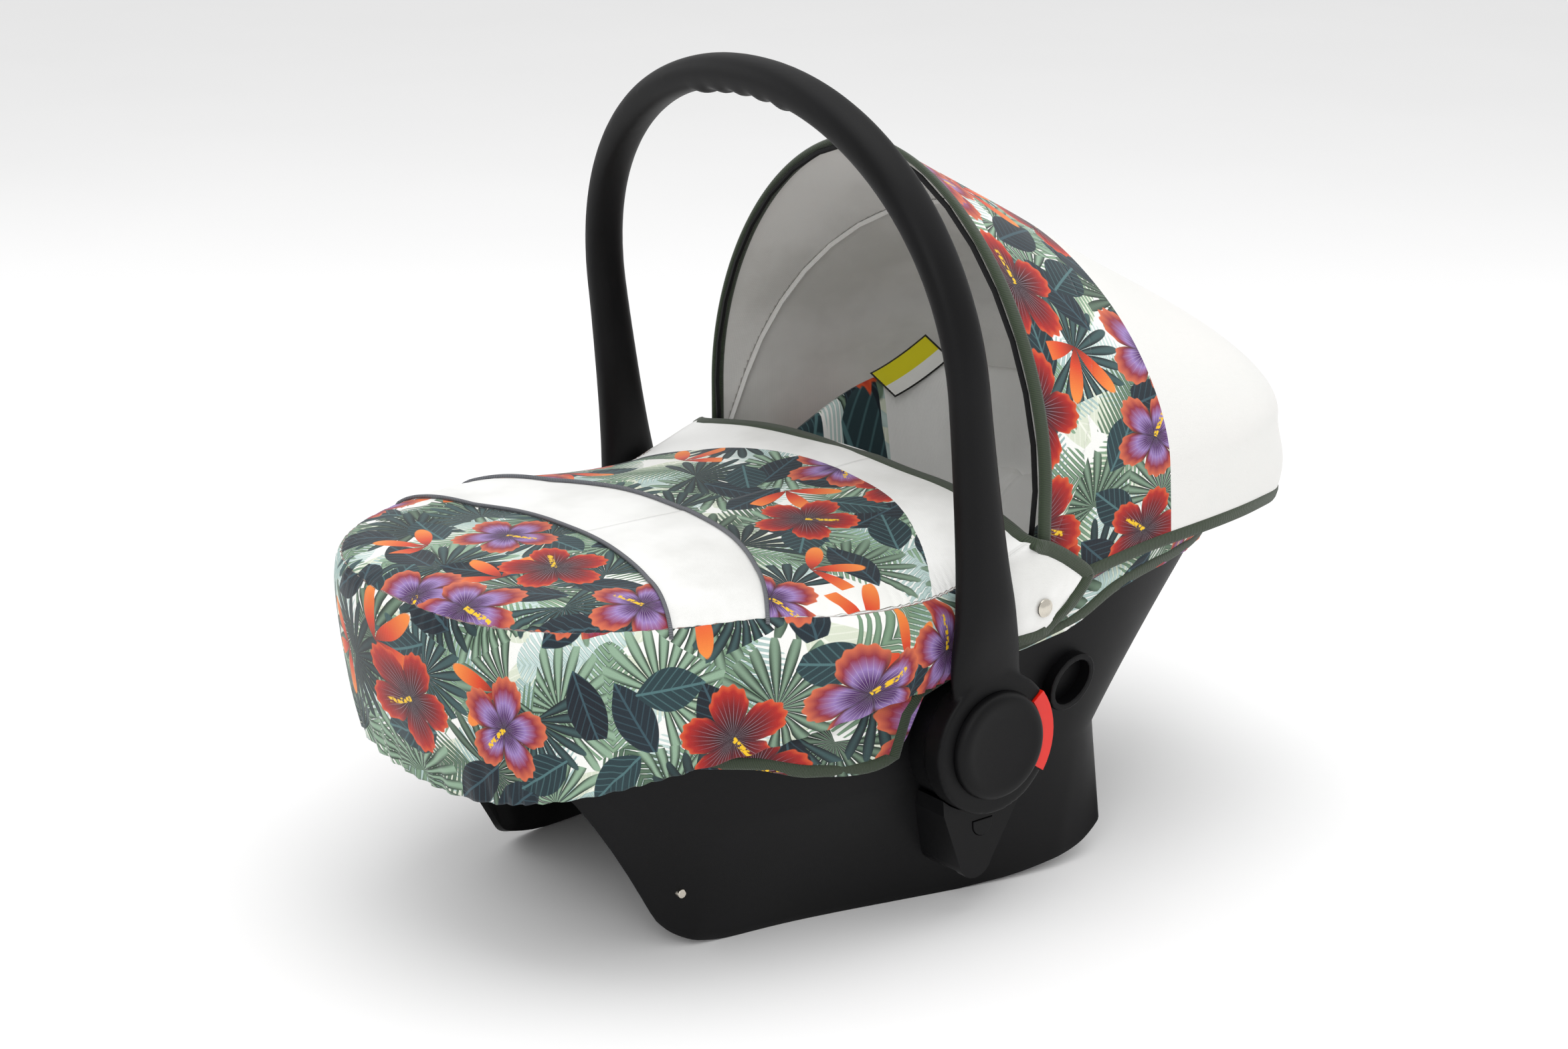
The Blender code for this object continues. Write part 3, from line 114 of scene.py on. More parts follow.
def piece_from(name, shape, finishes, angle=35):
    """Makes an object of a bmesh, with its materials, shaded smooth but for its sharp edges."""
    mesh = bpy.data.meshes.new(name)
    shape.to_mesh(mesh)
    shape.free()
    for finish in finishes:
        mesh.materials.append(finish)
    mesh.shade_smooth()
    mesh.set_sharp_from_angle(angle=math.radians(angle))
    piece = bpy.data.objects.new(name, mesh)
    bpy.context.scene.collection.objects.link(piece)
    return piece


def cloth_grid(name, columns, rows, point, finishes, uv=None, zone=None, outward=None):
    """A sheet over u and v from 0 to 1.

    uv gives its cloth coordinates in metres, zone a panel's distance, and outward a point inside the sheet.
    """
    shape = bmesh.new()
    bmesh.ops.create_grid(shape, x_segments=columns, y_segments=rows, size=0.5)
    cloth = shape.loops.layers.uv.new("cloth")
    ring = shape.verts.layers.float.new("zone")
    where = {vert: (vert.co.x + 0.5, vert.co.y + 0.5) for vert in shape.verts}
    for vert, (u, v) in where.items():
        vert.co = point(u, v)
        if zone:
            vert[ring] = zone(u, v, vert.co)
    for face in shape.faces:
        for loop in face.loops:
            u, v = where[loop.vert]
            loop[cloth].uv = uv(u, v, loop.vert.co) if uv else (loop.vert.co.x, loop.vert.co.y)
    bmesh.ops.remove_doubles(shape, verts=shape.verts, dist=1e-5)
    if outward is not None:
        bmesh.ops.recalc_face_normals(shape, faces=shape.faces)
        facing = sum(face.normal.dot(face.calc_center_median() - outward) for face in shape.faces)
        if facing < 0:
            bmesh.ops.reverse_faces(shape, faces=shape.faces)
    return piece_from(name, shape, finishes, 60)


def wall(piece, thickness, offset, inner_slot=0):
    """Gives a sheet its thickness.

    Offset 1 grows it outwards, and inner_slot is added to the inner face's slot.
    """
    step = piece.modifiers.new("wall", "SOLIDIFY")
    step.thickness = thickness
    step.offset = offset
    step.use_rim = True
    step.material_offset = inner_slot
    return piece


def applied(piece):
    """Applies a piece's modifiers."""
    graph = bpy.context.evaluated_depsgraph_get()
    mesh = bpy.data.meshes.new_from_object(piece.evaluated_get(graph))
    old = piece.data
    piece.modifiers.clear()
    piece.data = mesh
    bpy.data.meshes.remove(old)
    return piece


def merged_copy(node):
    """A bmesh of a CAD node with its loose triangles joined and its flat faces made whole."""
    shape = bmesh.new()
    shape.from_mesh(frame["nodes"][node].data)
    bmesh.ops.remove_doubles(shape, verts=shape.verts, dist=2e-6)
    bmesh.ops.dissolve_limit(
        shape, angle_limit=math.radians(0.6), use_dissolve_boundaries=False,
        verts=shape.verts, edges=shape.edges,
    )
    return shape


def moulded(node, finish, edge, body, angle=30):
    """Stands for a CAD node: the same shape, with its edges rounded by a radius."""
    piece = piece_from(node + "_moulded", merged_copy(node), [finish], angle)
    step = piece.modifiers.new("rounded_edges", "BEVEL")
    step.width = edge
    step.segments = 3
    step.limit_method = "ANGLE"
    step.angle_limit = math.radians(38)
    step.harden_normals = True
    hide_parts(node)
    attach(piece, body)
    return piece


def tape(name, points, inwards, finishes, width, thickness, closed=False, section=10):
    """A folded tape over an edge: points along the edge, and for each the way into the cloth."""
    count = len(points)

    def place(u, v):
        index = min(count - 1, round(u * (count - 1)))
        before, after = points[max(0, index - 1)], points[min(count - 1, index + 1)]
        if closed:
            before, after = points[(index - 1) % (count - 1)], points[(index + 1) % (count - 1)]
        along = (after - before).normalized()
        inward = inwards[index]
        inward = (inward - along * inward.dot(along)).normalized()
        across = along.cross(inward)
        angle = 2 * math.pi * v
        reach = width * (0.42 + 0.5 * power(math.cos(angle), 0.7))
        return points[index] + inward * reach + across * (thickness / 2 * power(math.sin(angle), 0.7))

    along_m = [0.0]
    for low, high in zip(points, points[1:]):
        along_m.append(along_m[-1] + (high - low).length)

    def uv(u, v, _):
        return along_m[min(count - 1, round(u * (count - 1)))], v * 2 * width

    piece = cloth_grid(name, count - 1, section, place, finishes, uv=uv)
    shape = bmesh.new()
    shape.from_mesh(piece.data)
    bmesh.ops.holes_fill(shape, edges=shape.edges, sides=section + 2)
    bmesh.ops.recalc_face_normals(shape, faces=shape.faces)
    shape.to_mesh(piece.data)
    shape.free()
    return piece


def cord_line(name, points, radius, finish, sides=8):
    """A thin round piping along points, as a mesh."""
    ways = [Vector((0, 0, 1)) for _ in points]
    return tape(name, points, ways, [finish], radius * 2, radius * 2, section=sides)


# ---------------------------------------------------------------- materials


def linear(hex_colour):
    """An sRGB hex colour as linear values."""
    parts = [int(hex_colour[index:index + 2], 16) / 255 for index in (1, 3, 5)]
    lit = [part / 12.92 if part <= 0.04045 else ((part + 0.055) / 1.055) ** 2.4 for part in parts]
    return (*lit, 1.0)


def add(tree, kind, inputs=(), out=0, stops=None, **settings):
    """Adds a node, with its settings, its inputs' values or links, and a ramp's stops. Returns one output."""
    node = tree.nodes.new(kind)
    for name, value in settings.items():
        setattr(node, name, value)
    for index, (position, colour) in enumerate(stops or ()):
        ramp = node.color_ramp
        stop = ramp.elements[index] if index < len(ramp.elements) else ramp.elements.new(position)
        stop.position = position
        stop.color = linear(colour)
    pairs = inputs.items() if isinstance(inputs, dict) else enumerate(inputs)
    for key, value in pairs:
        if value is None:
            continue
        if isinstance(value, bpy.types.NodeSocket):
            tree.links.new(value, node.inputs[key])
        else:
            node.inputs[key].default_value = value
    return node.outputs[out]


MATH = "ShaderNodeMath"


def calc(tree, operation, *values, clamp=False):
    return add(tree, MATH, values, operation=operation, use_clamp=clamp)


def over(tree, below, above, mask):
    """Lays one colour over another where the mask is 1."""
    return add(
        tree, "ShaderNodeMix", {0: mask, 6: below, 7: above}, out=2, data_type="RGBA", clamp_factor=True
    )


def between(tree, value, low, high):
    """0 below low, 1 above high, and smooth between."""
    return add(tree, "ShaderNodeMapRange", [value, low, high, 0.0, 1.0], interpolation_type="SMOOTHSTEP")


def finish_of(name):
    """A new material, its tree and its Principled shader."""
    made = bpy.data.materials.new(name)
    made.use_nodes = True
    return made, made.node_tree, made.node_tree.nodes["Principled BSDF"]


def bump_from(tree, shader, height, depth, strength=1.0):
    bump = add(tree, "ShaderNodeBump", {"Height": height, "Distance": depth, "Strength": strength})
    tree.links.new(bump, shader.inputs["Normal"])


def cloth_place(tree):
    return add(tree, "ShaderNodeUVMap", uv_map="cloth")


def weave_height(tree, place, thread):
    """Plain weave: warp and weft threads crossing, a thread wide."""
    pair = add(tree, "ShaderNodeSeparateXYZ", [place])
    warp = calc(tree, "SINE", calc(tree, "MULTIPLY", pair, math.pi / thread))
    weft = calc(tree, "SINE", calc(tree, "MULTIPLY", pair.node.outputs[1], math.pi / thread))
    return calc(tree, "ABSOLUTE", calc(tree, "MULTIPLY", warp, weft))


def motif_place(tree, place, spacing, shift, looseness=0.75):
    """Places about scattered centres: (x, y, radius, angle, two random numbers)."""
    moved = add(tree, "ShaderNodeVectorMath", [place, (shift, shift * 1.7, 0.0)], operation="ADD")
    centre = add(
        tree, "ShaderNodeTexVoronoi", {"Vector": moved, "Scale": 1 / spacing, "Randomness": looseness},
        out=2, voronoi_dimensions="2D",
    )
    chance = add(tree, "ShaderNodeSeparateColor", [centre.node.outputs[1]])
    offset = add(tree, "ShaderNodeVectorMath", [moved, centre], operation="SUBTRACT")
    spin = calc(tree, "MULTIPLY", chance, 2 * math.pi)
    turned = add(
        tree, "ShaderNodeVectorRotate", {"Vector": offset, "Angle": spin}, rotation_type="Z_AXIS"
    )
    x = add(tree, "ShaderNodeSeparateXYZ", [turned])
    y = x.node.outputs[1]
    radius = add(tree, "ShaderNodeVectorMath", [offset], out=1, operation="LENGTH")
    angle = calc(tree, "ARCTAN2", y, x)
    return x, y, radius, angle, chance.node.outputs[1], chance.node.outputs[2]


def fan_palm(tree, below, place, spacing, shift, reach, share, dark, light):
    """Pointed blades that spread from a stalk, dark between them and light along their middles."""
    _, _, radius, angle, keep, tint = motif_place(tree, place, spacing, shift)
    out = calc(tree, "DIVIDE", radius, reach)
    blade = calc(tree, "ABSOLUTE", calc(tree, "SINE", calc(tree, "MULTIPLY", angle, 10.0)))
    taper = calc(tree, "POWER", out, 2.4)
    mask = between(tree, calc(tree, "SUBTRACT", blade, taper), 0.0, 0.10)
    spread = calc(tree, "LESS_THAN", calc(tree, "ABSOLUTE", angle), 2.2)
    mask = calc(tree, "MULTIPLY", mask, spread)
    mask = calc(tree, "MULTIPLY", mask, calc(tree, "LESS_THAN", out, 0.98))
    mask = calc(tree, "MULTIPLY", mask, calc(tree, "LESS_THAN", keep, share))
    ridge = calc(tree, "MULTIPLY", calc(tree, "POWER", blade, 3.0), calc(tree, "ADD", tint, 0.35))
    colour = over(tree, linear(dark), linear(light), ridge)
    return over(tree, below, colour, mask)


def feather_leaf(tree, below, place, spacing, shift, length, width, pitch, share, dark, light):
    """A frond: narrow leaflets slanting from both sides of a midrib."""
    x, y, _, _, keep, tint = motif_place(tree, place, spacing, shift)
    away = calc(tree, "ABSOLUTE", y)
    along = calc(tree, "DIVIDE", x, length / 2)
    room = calc(tree, "SUBTRACT", 1.0, calc(tree, "POWER", calc(tree, "ABSOLUTE", along), 2.0))
    edge = calc(tree, "MULTIPLY", calc(tree, "SQRT", calc(tree, "MAXIMUM", room, 0.0)), width / 2)
    inside = between(tree, calc(tree, "SUBTRACT", edge, away), 0.0, 0.0008)
    slant = calc(tree, "SUBTRACT", x, calc(tree, "MULTIPLY", away, 0.9))
    leaflet = calc(tree, "ABSOLUTE", calc(tree, "SINE", calc(tree, "MULTIPLY", slant, math.pi / pitch)))
    narrow = calc(tree, "DIVIDE", away, width / 2)
    cut = between(tree, calc(tree, "SUBTRACT", leaflet, calc(tree, "MULTIPLY", narrow, 0.85)), 0.02, 0.16)
    mask = calc(tree, "MULTIPLY", inside, cut)
    mask = calc(tree, "MULTIPLY", mask, calc(tree, "LESS_THAN", keep, share))
    shade = calc(tree, "MULTIPLY", leaflet, calc(tree, "ADD", tint, 0.3))
    colour = over(tree, linear(dark), linear(light), shade)
    return over(tree, below, colour, mask)


def broad_leaf(tree, below, place, spacing, shift, length, width, share, dark, light):
    """A pointed oval leaf with a pale midrib and side veins."""
    x, y, _, _, keep, tint = motif_place(tree, place, spacing, shift)
    away = calc(tree, "ABSOLUTE", y)
    along = calc(tree, "DIVIDE", x, length / 2)
    room = calc(tree, "SUBTRACT", 1.0, calc(tree, "MULTIPLY", along, along))
    edge = calc(tree, "MULTIPLY", room, width / 2)
    mask = between(tree, calc(tree, "SUBTRACT", edge, away), 0.0, 0.0007)
    mask = calc(tree, "MULTIPLY", mask, calc(tree, "LESS_THAN", keep, share))
    slant = calc(tree, "SUBTRACT", x, calc(tree, "MULTIPLY", away, 1.1))
    vein = calc(tree, "ABSOLUTE", calc(tree, "SINE", calc(tree, "MULTIPLY", slant, math.pi / 0.007)))
    vein = between(tree, vein, 0.45, 0.05)
    midrib = between(tree, away, 0.0011, 0.0005)
    shade = calc(tree, "MAXIMUM", calc(tree, "MULTIPLY", vein, 0.55), midrib)
    shade = calc(tree, "ADD", shade, calc(tree, "MULTIPLY", tint, 0.15))
    return over(tree, below, over(tree, linear(dark), linear(light), shade), mask)


def blossom(tree, below, place, spacing, shift, reach, share):
    """A five-petalled flower, dark in its throat, veined, with a yellow stamen."""
    x, y, radius, angle, keep, tint = motif_place(tree, place, spacing, shift, 0.6)
    out = calc(tree, "DIVIDE", radius, reach)
    petal = calc(tree, "ABSOLUTE", calc(tree, "COSINE", calc(tree, "MULTIPLY", angle, 2.5)))
    ruffle = calc(tree, "MULTIPLY", calc(tree, "SINE", calc(tree, "MULTIPLY", angle, 31.0)), 0.025)
    edge = calc(tree, "ADD", calc(tree, "MULTIPLY", calc(tree, "POWER", petal, 0.55), 0.56), 0.42)
    edge = calc(tree, "ADD", edge, ruffle)
    here = between(tree, calc(tree, "SUBTRACT", edge, out), 0.0, 0.03)
    present = calc(tree, "LESS_THAN", keep, share)
    mask = calc(tree, "MULTIPLY", here, present)
    ratio = calc(tree, "DIVIDE", out, edge)
    warm = add(tree, "ShaderNodeValToRGB", [ratio], stops=(
        (0.0, "#12060f"), (0.28, "#380912"), (0.62, "#780d15"), (0.86, "#ad1f18"), (1.0, "#dd5a2c"),
    ))
    cool = add(tree, "ShaderNodeValToRGB", [ratio], stops=(
        (0.0, "#1f0b28"), (0.28, "#4b2160"), (0.50, "#9478b4"), (0.76, "#8e2636"), (1.0, "#da7048"),
    ))
    colour = over(tree, warm, cool, between(tree, tint, 0.45, 0.55))
    vein = calc(tree, "ABSOLUTE", calc(tree, "SINE", calc(tree, "MULTIPLY", angle, 22.5)))
    vein = calc(tree, "MULTIPLY", between(tree, vein, 0.30, 0.0), between(tree, ratio, 0.85, 0.2))
    colour = over(tree, colour, linear("#e9d9ea"), calc(tree, "MULTIPLY", vein, 0.55))
    fold = calc(tree, "MULTIPLY", between(tree, petal, 0.45, 0.0), 0.75)
    colour = over(tree, colour, linear("#23081a"), fold)
    thin = between(tree, calc(tree, "ABSOLUTE", y), 0.0022, 0.0012)
    stalk = calc(tree, "MULTIPLY", thin, calc(tree, "GREATER_THAN", x, 0))
    stalk = calc(tree, "MULTIPLY", stalk, between(tree, out, 0.62, 0.58))
    beads = add(tree, "ShaderNodeTexVoronoi", {"Vector": place, "Scale": 1 / 0.0028}, voronoi_dimensions="2D")
    stalk = calc(tree, "MULTIPLY", stalk, between(tree, beads, 0.62, 0.35))
    colour = over(tree, colour, linear("#f3c31c"), stalk)
    return over(tree, below, colour, mask)


def bright_bract(tree, below, place, spacing, shift, reach, share):
    """Three narrow pointed orange petals on one side of a stalk."""
    _, _, radius, angle, keep, _ = motif_place(tree, place, spacing, shift)
    out = calc(tree, "DIVIDE", radius, reach)
    wave = calc(tree, "COSINE", calc(tree, "MULTIPLY", angle, 3.0))
    petal = calc(tree, "POWER", calc(tree, "ABSOLUTE", wave), 1.6)
    front = calc(tree, "LESS_THAN", calc(tree, "ABSOLUTE", angle), 1.45)
    mask = calc(tree, "MULTIPLY", between(tree, calc(tree, "SUBTRACT", petal, out), 0.0, 0.05), front)
    mask = calc(tree, "MULTIPLY", mask, calc(tree, "LESS_THAN", keep, share))
    stops = ((0.0, "#7a1d14"), (0.35, "#d4421f"), (0.9, "#f08a3c"))
    colour = add(tree, "ShaderNodeValToRGB", [out], stops=stops)
    return over(tree, below, colour, mask)


def garden_print(tree, place):
    """A generic print of leaves and flowers on white, layer over layer, with motifs of 20 to 90 mm."""
    colour = linear("#f0f0ec")
    colour = broad_leaf(tree, colour, place, 0.060, 0.31, 0.086, 0.034, 0.85, "#d3dac6", "#eceee2")
    colour = feather_leaf(tree, colour, place, 0.066, 0.83, 0.100, 0.056, 0.0048, 0.85, "#7c9f9c", "#c3d6d2")
    colour = feather_leaf(tree, colour, place, 0.060, 1.37, 0.096, 0.050, 0.0052, 0.80, "#1f3b2b", "#86a588")
    colour = fan_palm(tree, colour, place, 0.074, 2.11, 0.050, 0.80, "#0c2117", "#8eab92")
    colour = fan_palm(tree, colour, place, 0.080, 2.83, 0.046, 0.70, "#070f16", "#3a5556")
    colour = broad_leaf(tree, colour, place, 0.058, 3.71, 0.058, 0.030, 0.60, "#0c1722", "#34505a")
    colour = broad_leaf(tree, colour, place, 0.062, 4.19, 0.050, 0.030, 0.45, "#10262e", "#4c7073")
    colour = bright_bract(tree, colour, place, 0.080, 5.03, 0.040, 0.50)
    colour = blossom(tree, colour, place, 0.094, 6.47, 0.038, 0.50)
    return blossom(tree, colour, place, 0.118, 7.91, 0.042, 0.42)


def fabric_finish(tree, shader, place, colour, roughness=0.62, thread=0.0011):
    """Woven polyester: soft sheen, and threads drawn about twice their real width so that they show."""
    inputs = {"Vector": place, "Scale": 28.0, "Detail": 3.0}
    crumple = add(tree, "ShaderNodeTexNoise", inputs, noise_dimensions="2D")
    height = calc(tree, "ADD", calc(tree, "MULTIPLY", weave_height(tree, place, thread), 0.10), crumple)
    bump_from(tree, shader, height, 0.0016, 0.45)
    if isinstance(colour, bpy.types.NodeSocket):
        tree.links.new(colour, shader.inputs["Base Color"])
    else:
        shader.inputs["Base Color"].default_value = colour
    shader.inputs["Roughness"].default_value = roughness
    shader.inputs["Sheen Weight"].default_value = 0.15
    shader.inputs["Sheen Roughness"].default_value = 0.4
    shader.inputs["Specular IOR Level"].default_value = 0.35


def white_shade(tree, place, tone="#f0f0ee", low="#e4e4e1"):
    """A white cloth's slight change of tone across its width."""
    inputs = {"Vector": place, "Scale": 9.0, "Detail": 4.0}
    cloud = add(tree, "ShaderNodeTexNoise", inputs, noise_dimensions="2D")
    return over(tree, linear(low), linear(tone), between(tree, cloud, 0.3, 0.6))


def make_printed_cloth():
    # Printed polyester gabardine: bright, even dye on a fine weave, with little gloss.
    made, tree, shader = finish_of("printed_polyester")
    place = cloth_place(tree)
    fabric_finish(tree, shader, place, garden_print(tree, place))
    return made


def make_panelled_cloth(name, stripes, white="#f0f0ee"):
    # Print and white cloth seamed together: a zone value in metres says which panel a point lies in.
    made, tree, shader = finish_of(name)
    place = cloth_place(tree)
    zone = add(tree, "ShaderNodeAttribute", attribute_name="zone", out=2)
    colour = white_shade(tree, place, white)
    print_colour = garden_print(tree, place)
    for low, high in stripes:
        above = calc(tree, "GREATER_THAN", zone, low)
        inside = calc(tree, "MULTIPLY", above, calc(tree, "LESS_THAN", zone, high))
        colour = over(tree, colour, print_colour, inside)
    fabric_finish(tree, shader, place, colour)
    return made


def make_white_cloth(name, tone, low):
    # White coated polyester: smooth, with a soft low gloss.
    made, tree, shader = finish_of(name)
    place = cloth_place(tree)
    fabric_finish(tree, shader, place, white_shade(tree, place, tone, low), 0.55, 0.0009)
    return made


def make_tape_finish():
    # Ribbed cotton binding tape, dark forest green: fine ribs across the tape, 1 mm apart.
    made, tree, shader = finish_of("green_binding_tape")
    place = cloth_place(tree)
    along = add(tree, "ShaderNodeSeparateXYZ", [place])
    rib = calc(tree, "ABSOLUTE", calc(tree, "SINE", calc(tree, "MULTIPLY", along, math.pi / 0.0012)))
    # Painted shade and highlight: the colour is darker in the grooves between the ribs and lighter on their
    # crests.
    colour = over(tree, linear("#141d10"), linear("#2c3d22"), rib)
    tree.links.new(colour, shader.inputs["Base Color"])
    bump_from(tree, shader, rib, 0.0004, 0.7)
    shader.inputs["Roughness"].default_value = 0.75
    shader.inputs["Sheen Weight"].default_value = 0.2
    return made


def make_piping_finish():
    # Dark grey corded piping with a slight gloss.
    made, tree, shader = finish_of("grey_piping")
    place = cloth_place(tree)
    along = add(tree, "ShaderNodeSeparateXYZ", [place])
    rib = calc(tree, "ABSOLUTE", calc(tree, "SINE", calc(tree, "MULTIPLY", along, math.pi / 0.0014)))
    # Painted shade and highlight: the colour is darker between the cord's ribs and lighter on their crests.
    tree.links.new(over(tree, linear("#3f4145"), linear("#6a6c72"), rib), shader.inputs["Base Color"])
    bump_from(tree, shader, rib, 0.0003, 0.5)
    shader.inputs["Roughness"].default_value = 0.5
    return made


def make_webbing_finish():
    # Woven polyester webbing: twill ribs across the strap, 1.4 mm apart.
    made, tree, shader = finish_of("black_webbing")
    place = cloth_place(tree)
    weave = weave_height(tree, place, 0.0014)
    # Painted shade and highlight: the colour is darker where the threads dip and lighter on their crossings.
    tree.links.new(over(tree, linear("#0c0c0d"), linear("#2b2b2d"), weave), shader.inputs["Base Color"])
    bump_from(tree, shader, weave, 0.0004, 0.8)
    shader.inputs["Roughness"].default_value = 0.7
    shader.inputs["Sheen Weight"].default_value = 0.3
    return made


def make_plastic(name, low, high, roughness, grain=0.0007, depth=0.00012, specular=0.5):
    # Injection-moulded polypropylene: a spark-eroded grain of about 0.7 mm, with slight wear in its tone.
    made, tree, shader = finish_of(name)
    place = add(tree, "ShaderNodeTexCoord", out=3)
    pits = add(tree, "ShaderNodeTexNoise", {"Vector": place, "Scale": 1 / grain, "Detail": 2.0})
    tone = add(tree, "ShaderNodeTexNoise", {"Vector": place, "Scale": 14.0, "Detail": 4.0})
    colour = over(tree, linear(low), linear(high), between(tree, tone, 0.3, 0.75))
    tree.links.new(colour, shader.inputs["Base Color"])
    bump_from(tree, shader, pits, depth, 0.6)
    rough = add(tree, "ShaderNodeMapRange", [tone, 0.3, 0.7, roughness - 0.05, roughness + 0.06])
    tree.links.new(rough, shader.inputs["Roughness"])
    shader.inputs["IOR"].default_value = 1.49
    shader.inputs["Specular IOR Level"].default_value = specular
    return made


def make_metal(name, colour, roughness):
    # Nickel-plated steel: bright and slightly warm, with fine polishing marks.
    made, tree, shader = finish_of(name)
    place = add(tree, "ShaderNodeTexCoord", out=3)
    marks = add(tree, "ShaderNodeTexNoise", {"Vector": place, "Scale": 900.0, "Detail": 2.0})
    rough = add(tree, "ShaderNodeMapRange", [marks, 0.3, 0.7, roughness - 0.06, roughness + 0.08])
    tree.links.new(rough, shader.inputs["Roughness"])
    bump_from(tree, shader, marks, 0.00003, 0.4)
    shader.inputs["Base Color"].default_value = linear(colour)
    shader.inputs["Metallic"].default_value = 1.0
    return made


def make_label_finish():
    # Plain woven label: yellow satin with a dark woven border and a white lower half, and no lettering.
    made, tree, shader = finish_of("plain_yellow_label")
    place = cloth_place(tree)
    pair = add(tree, "ShaderNodeSeparateXYZ", [place])
    across = calc(tree, "ABSOLUTE", pair)
    down = calc(tree, "ABSOLUTE", pair.node.outputs[1])
    ends = calc(tree, "GREATER_THAN", across, 0.0295)
    border = calc(tree, "MAXIMUM", ends, calc(tree, "GREATER_THAN", down, 0.0118))
    low = calc(tree, "LESS_THAN", pair.node.outputs[1], -0.002)
    colour = over(tree, linear("#e6dc1e"), linear("#eeeeea"), low)
    colour = over(tree, colour, linear("#1a1a18"), border)
    fabric_finish(tree, shader, place, colour, 0.5, 0.0008)
    return made


BLACK = make_plastic("black_polypropylene", "#060607", "#0d0d0f", 0.50, specular=0.18)
RED = make_plastic("red_abs", "#d5180c", "#ea2a16", 0.32, grain=0.001, depth=0.00004)
NICKEL = make_metal("nickel_plate", "#cfc9bd", 0.22)
STEEL = make_metal("zinc_plated_steel", "#b9bbbd", 0.34)
PRINT = make_printed_cloth()
WHITE = make_white_cloth("white_coated_cloth", "#f2f2f0", "#e7e7e4")
LINING = make_white_cloth("grey_white_lining", "#dcdbd8", "#cbcac6")
TAPE = make_tape_finish()
PIPING = make_piping_finish()
WEBBING = make_webbing_finish()
LABEL = make_label_finish()

# ---------------------------------------------------------------- sizes shared with the frame

LENGTH = 0.740
SHELL_HALF_WIDTH = 0.178
HANDLE_REACH = 0.429
FRONT = -LENGTH / 2
REAR = LENGTH / 2
RIM_FRONT = FRONT + 0.045
RIM_REAR = REAR - 0.070
RIM_WIDE = 0.060
COVER_GAP = 0.0007
COVER_THICKNESS = 0.0055
LIP_OUT = SHELL_HALF_WIDTH + COVER_GAP + COVER_THICKNESS
HOOD_THICKNESS = 0.0025
HOOD_OUT = LIP_OUT + 0.0008 + HOOD_THICKNESS
FOOT_THICKNESS = 0.0034
FOOT_OUT = HOOD_OUT + 0.0042
PLATE_INNER = HOOD_OUT + 0.0008
PLATE_OUTER = PLATE_INNER + 0.0185
PLATE_RADIUS = 0.0495
CAP_RADIUS = 0.0375
CAP_INNER = PLATE_OUTER + 0.0003
CAP_THICKNESS = 0.0072
LEG_X = FOOT_OUT + 0.0035 + 0.010
HOOD_FRONT = HINGE.y
HOOD_TOP = 0.502
HOOD_SHOULDER = 0.290
EAR_END = 0.072
SNAP_Y, SNAP_Z = 0.028, 0.211

# ---------------------------------------------------------------- shell

RIM_HEIGHT = curve_through(
    (RIM_FRONT, 0.190), (-0.200, 0.168), (-0.120, 0.167), (-0.025, 0.192),
    (0.030, 0.208), (0.090, 0.224), (0.160, 0.239), (RIM_REAR, 0.246),
)
FLOOR_HEIGHT = curve_through(
    (RIM_FRONT + 0.03, 0.085), (-0.250, 0.058), (-0.190, 0.047), (-0.100, 0.045),
    (-0.020, 0.058), (0.050, 0.090), (0.130, 0.134), (0.200, 0.176), (RIM_REAR - 0.03, 0.216),
)
RUNNER_Y = curve_through(
    (RIM_FRONT, -0.250), (-0.270, -0.226), (-0.200, -0.186), (-0.100, -0.110),
    (0.000, -0.020), (0.100, 0.052), (0.200, 0.102), (RIM_REAR, 0.126),
)
RUNNER_WIDTH = curve_through(
    (-0.235, 0.630), (-0.140, 0.680), (-0.040, 0.803), (0.030, 0.900), (0.070, 0.938)
)
RUNNER_HEIGHT = curve_through(
    (-0.240, 0.034), (-0.222, 0.012), (-0.195, 0.002), (-0.160, 0.000), (-0.020, 0.000),
    (0.030, 0.003), (0.070, 0.009), (0.092, 0.015), (0.107, 0.026), (0.117, 0.040), (0.126, 0.052),
)
RIM = dict(
    half_width=SHELL_HALF_WIDTH, front=RIM_FRONT, wide=RIM_WIDE, rear=RIM_REAR,
    front_square=3.2, rear_square=2.6,
)
WAIST = dict(
    half_width=SHELL_HALF_WIDTH - 0.007, front=RIM_FRONT + 0.035, wide=0.050, rear=0.141,
    front_square=3.2, rear_square=3.2,
)
BOWL = dict(
    half_width=SHELL_HALF_WIDTH - 0.026, front=RIM_FRONT + 0.033, wide=RIM_WIDE, rear=RIM_REAR - 0.028,
    front_square=2.8, rear_square=2.8,
)
RIM_ROUND = curve_through((0.0, 0.0), (0.25, 0.002), (0.6, 0.009), (1.0, 0.024))
RIM_DROP = curve_through((0.0, 0.010), (0.25, 0.003), (0.6, 0.0), (1.0, 0.003))


def rim_point(turn, inset, drop):
    x, y = outline(
        turn, SHELL_HALF_WIDTH - inset, RIM_FRONT + inset, RIM_WIDE, RIM_REAR - inset,
        RIM["front_square"], RIM["rear_square"],
    )
    return Vector((x, y, RIM_HEIGHT(y) - drop))


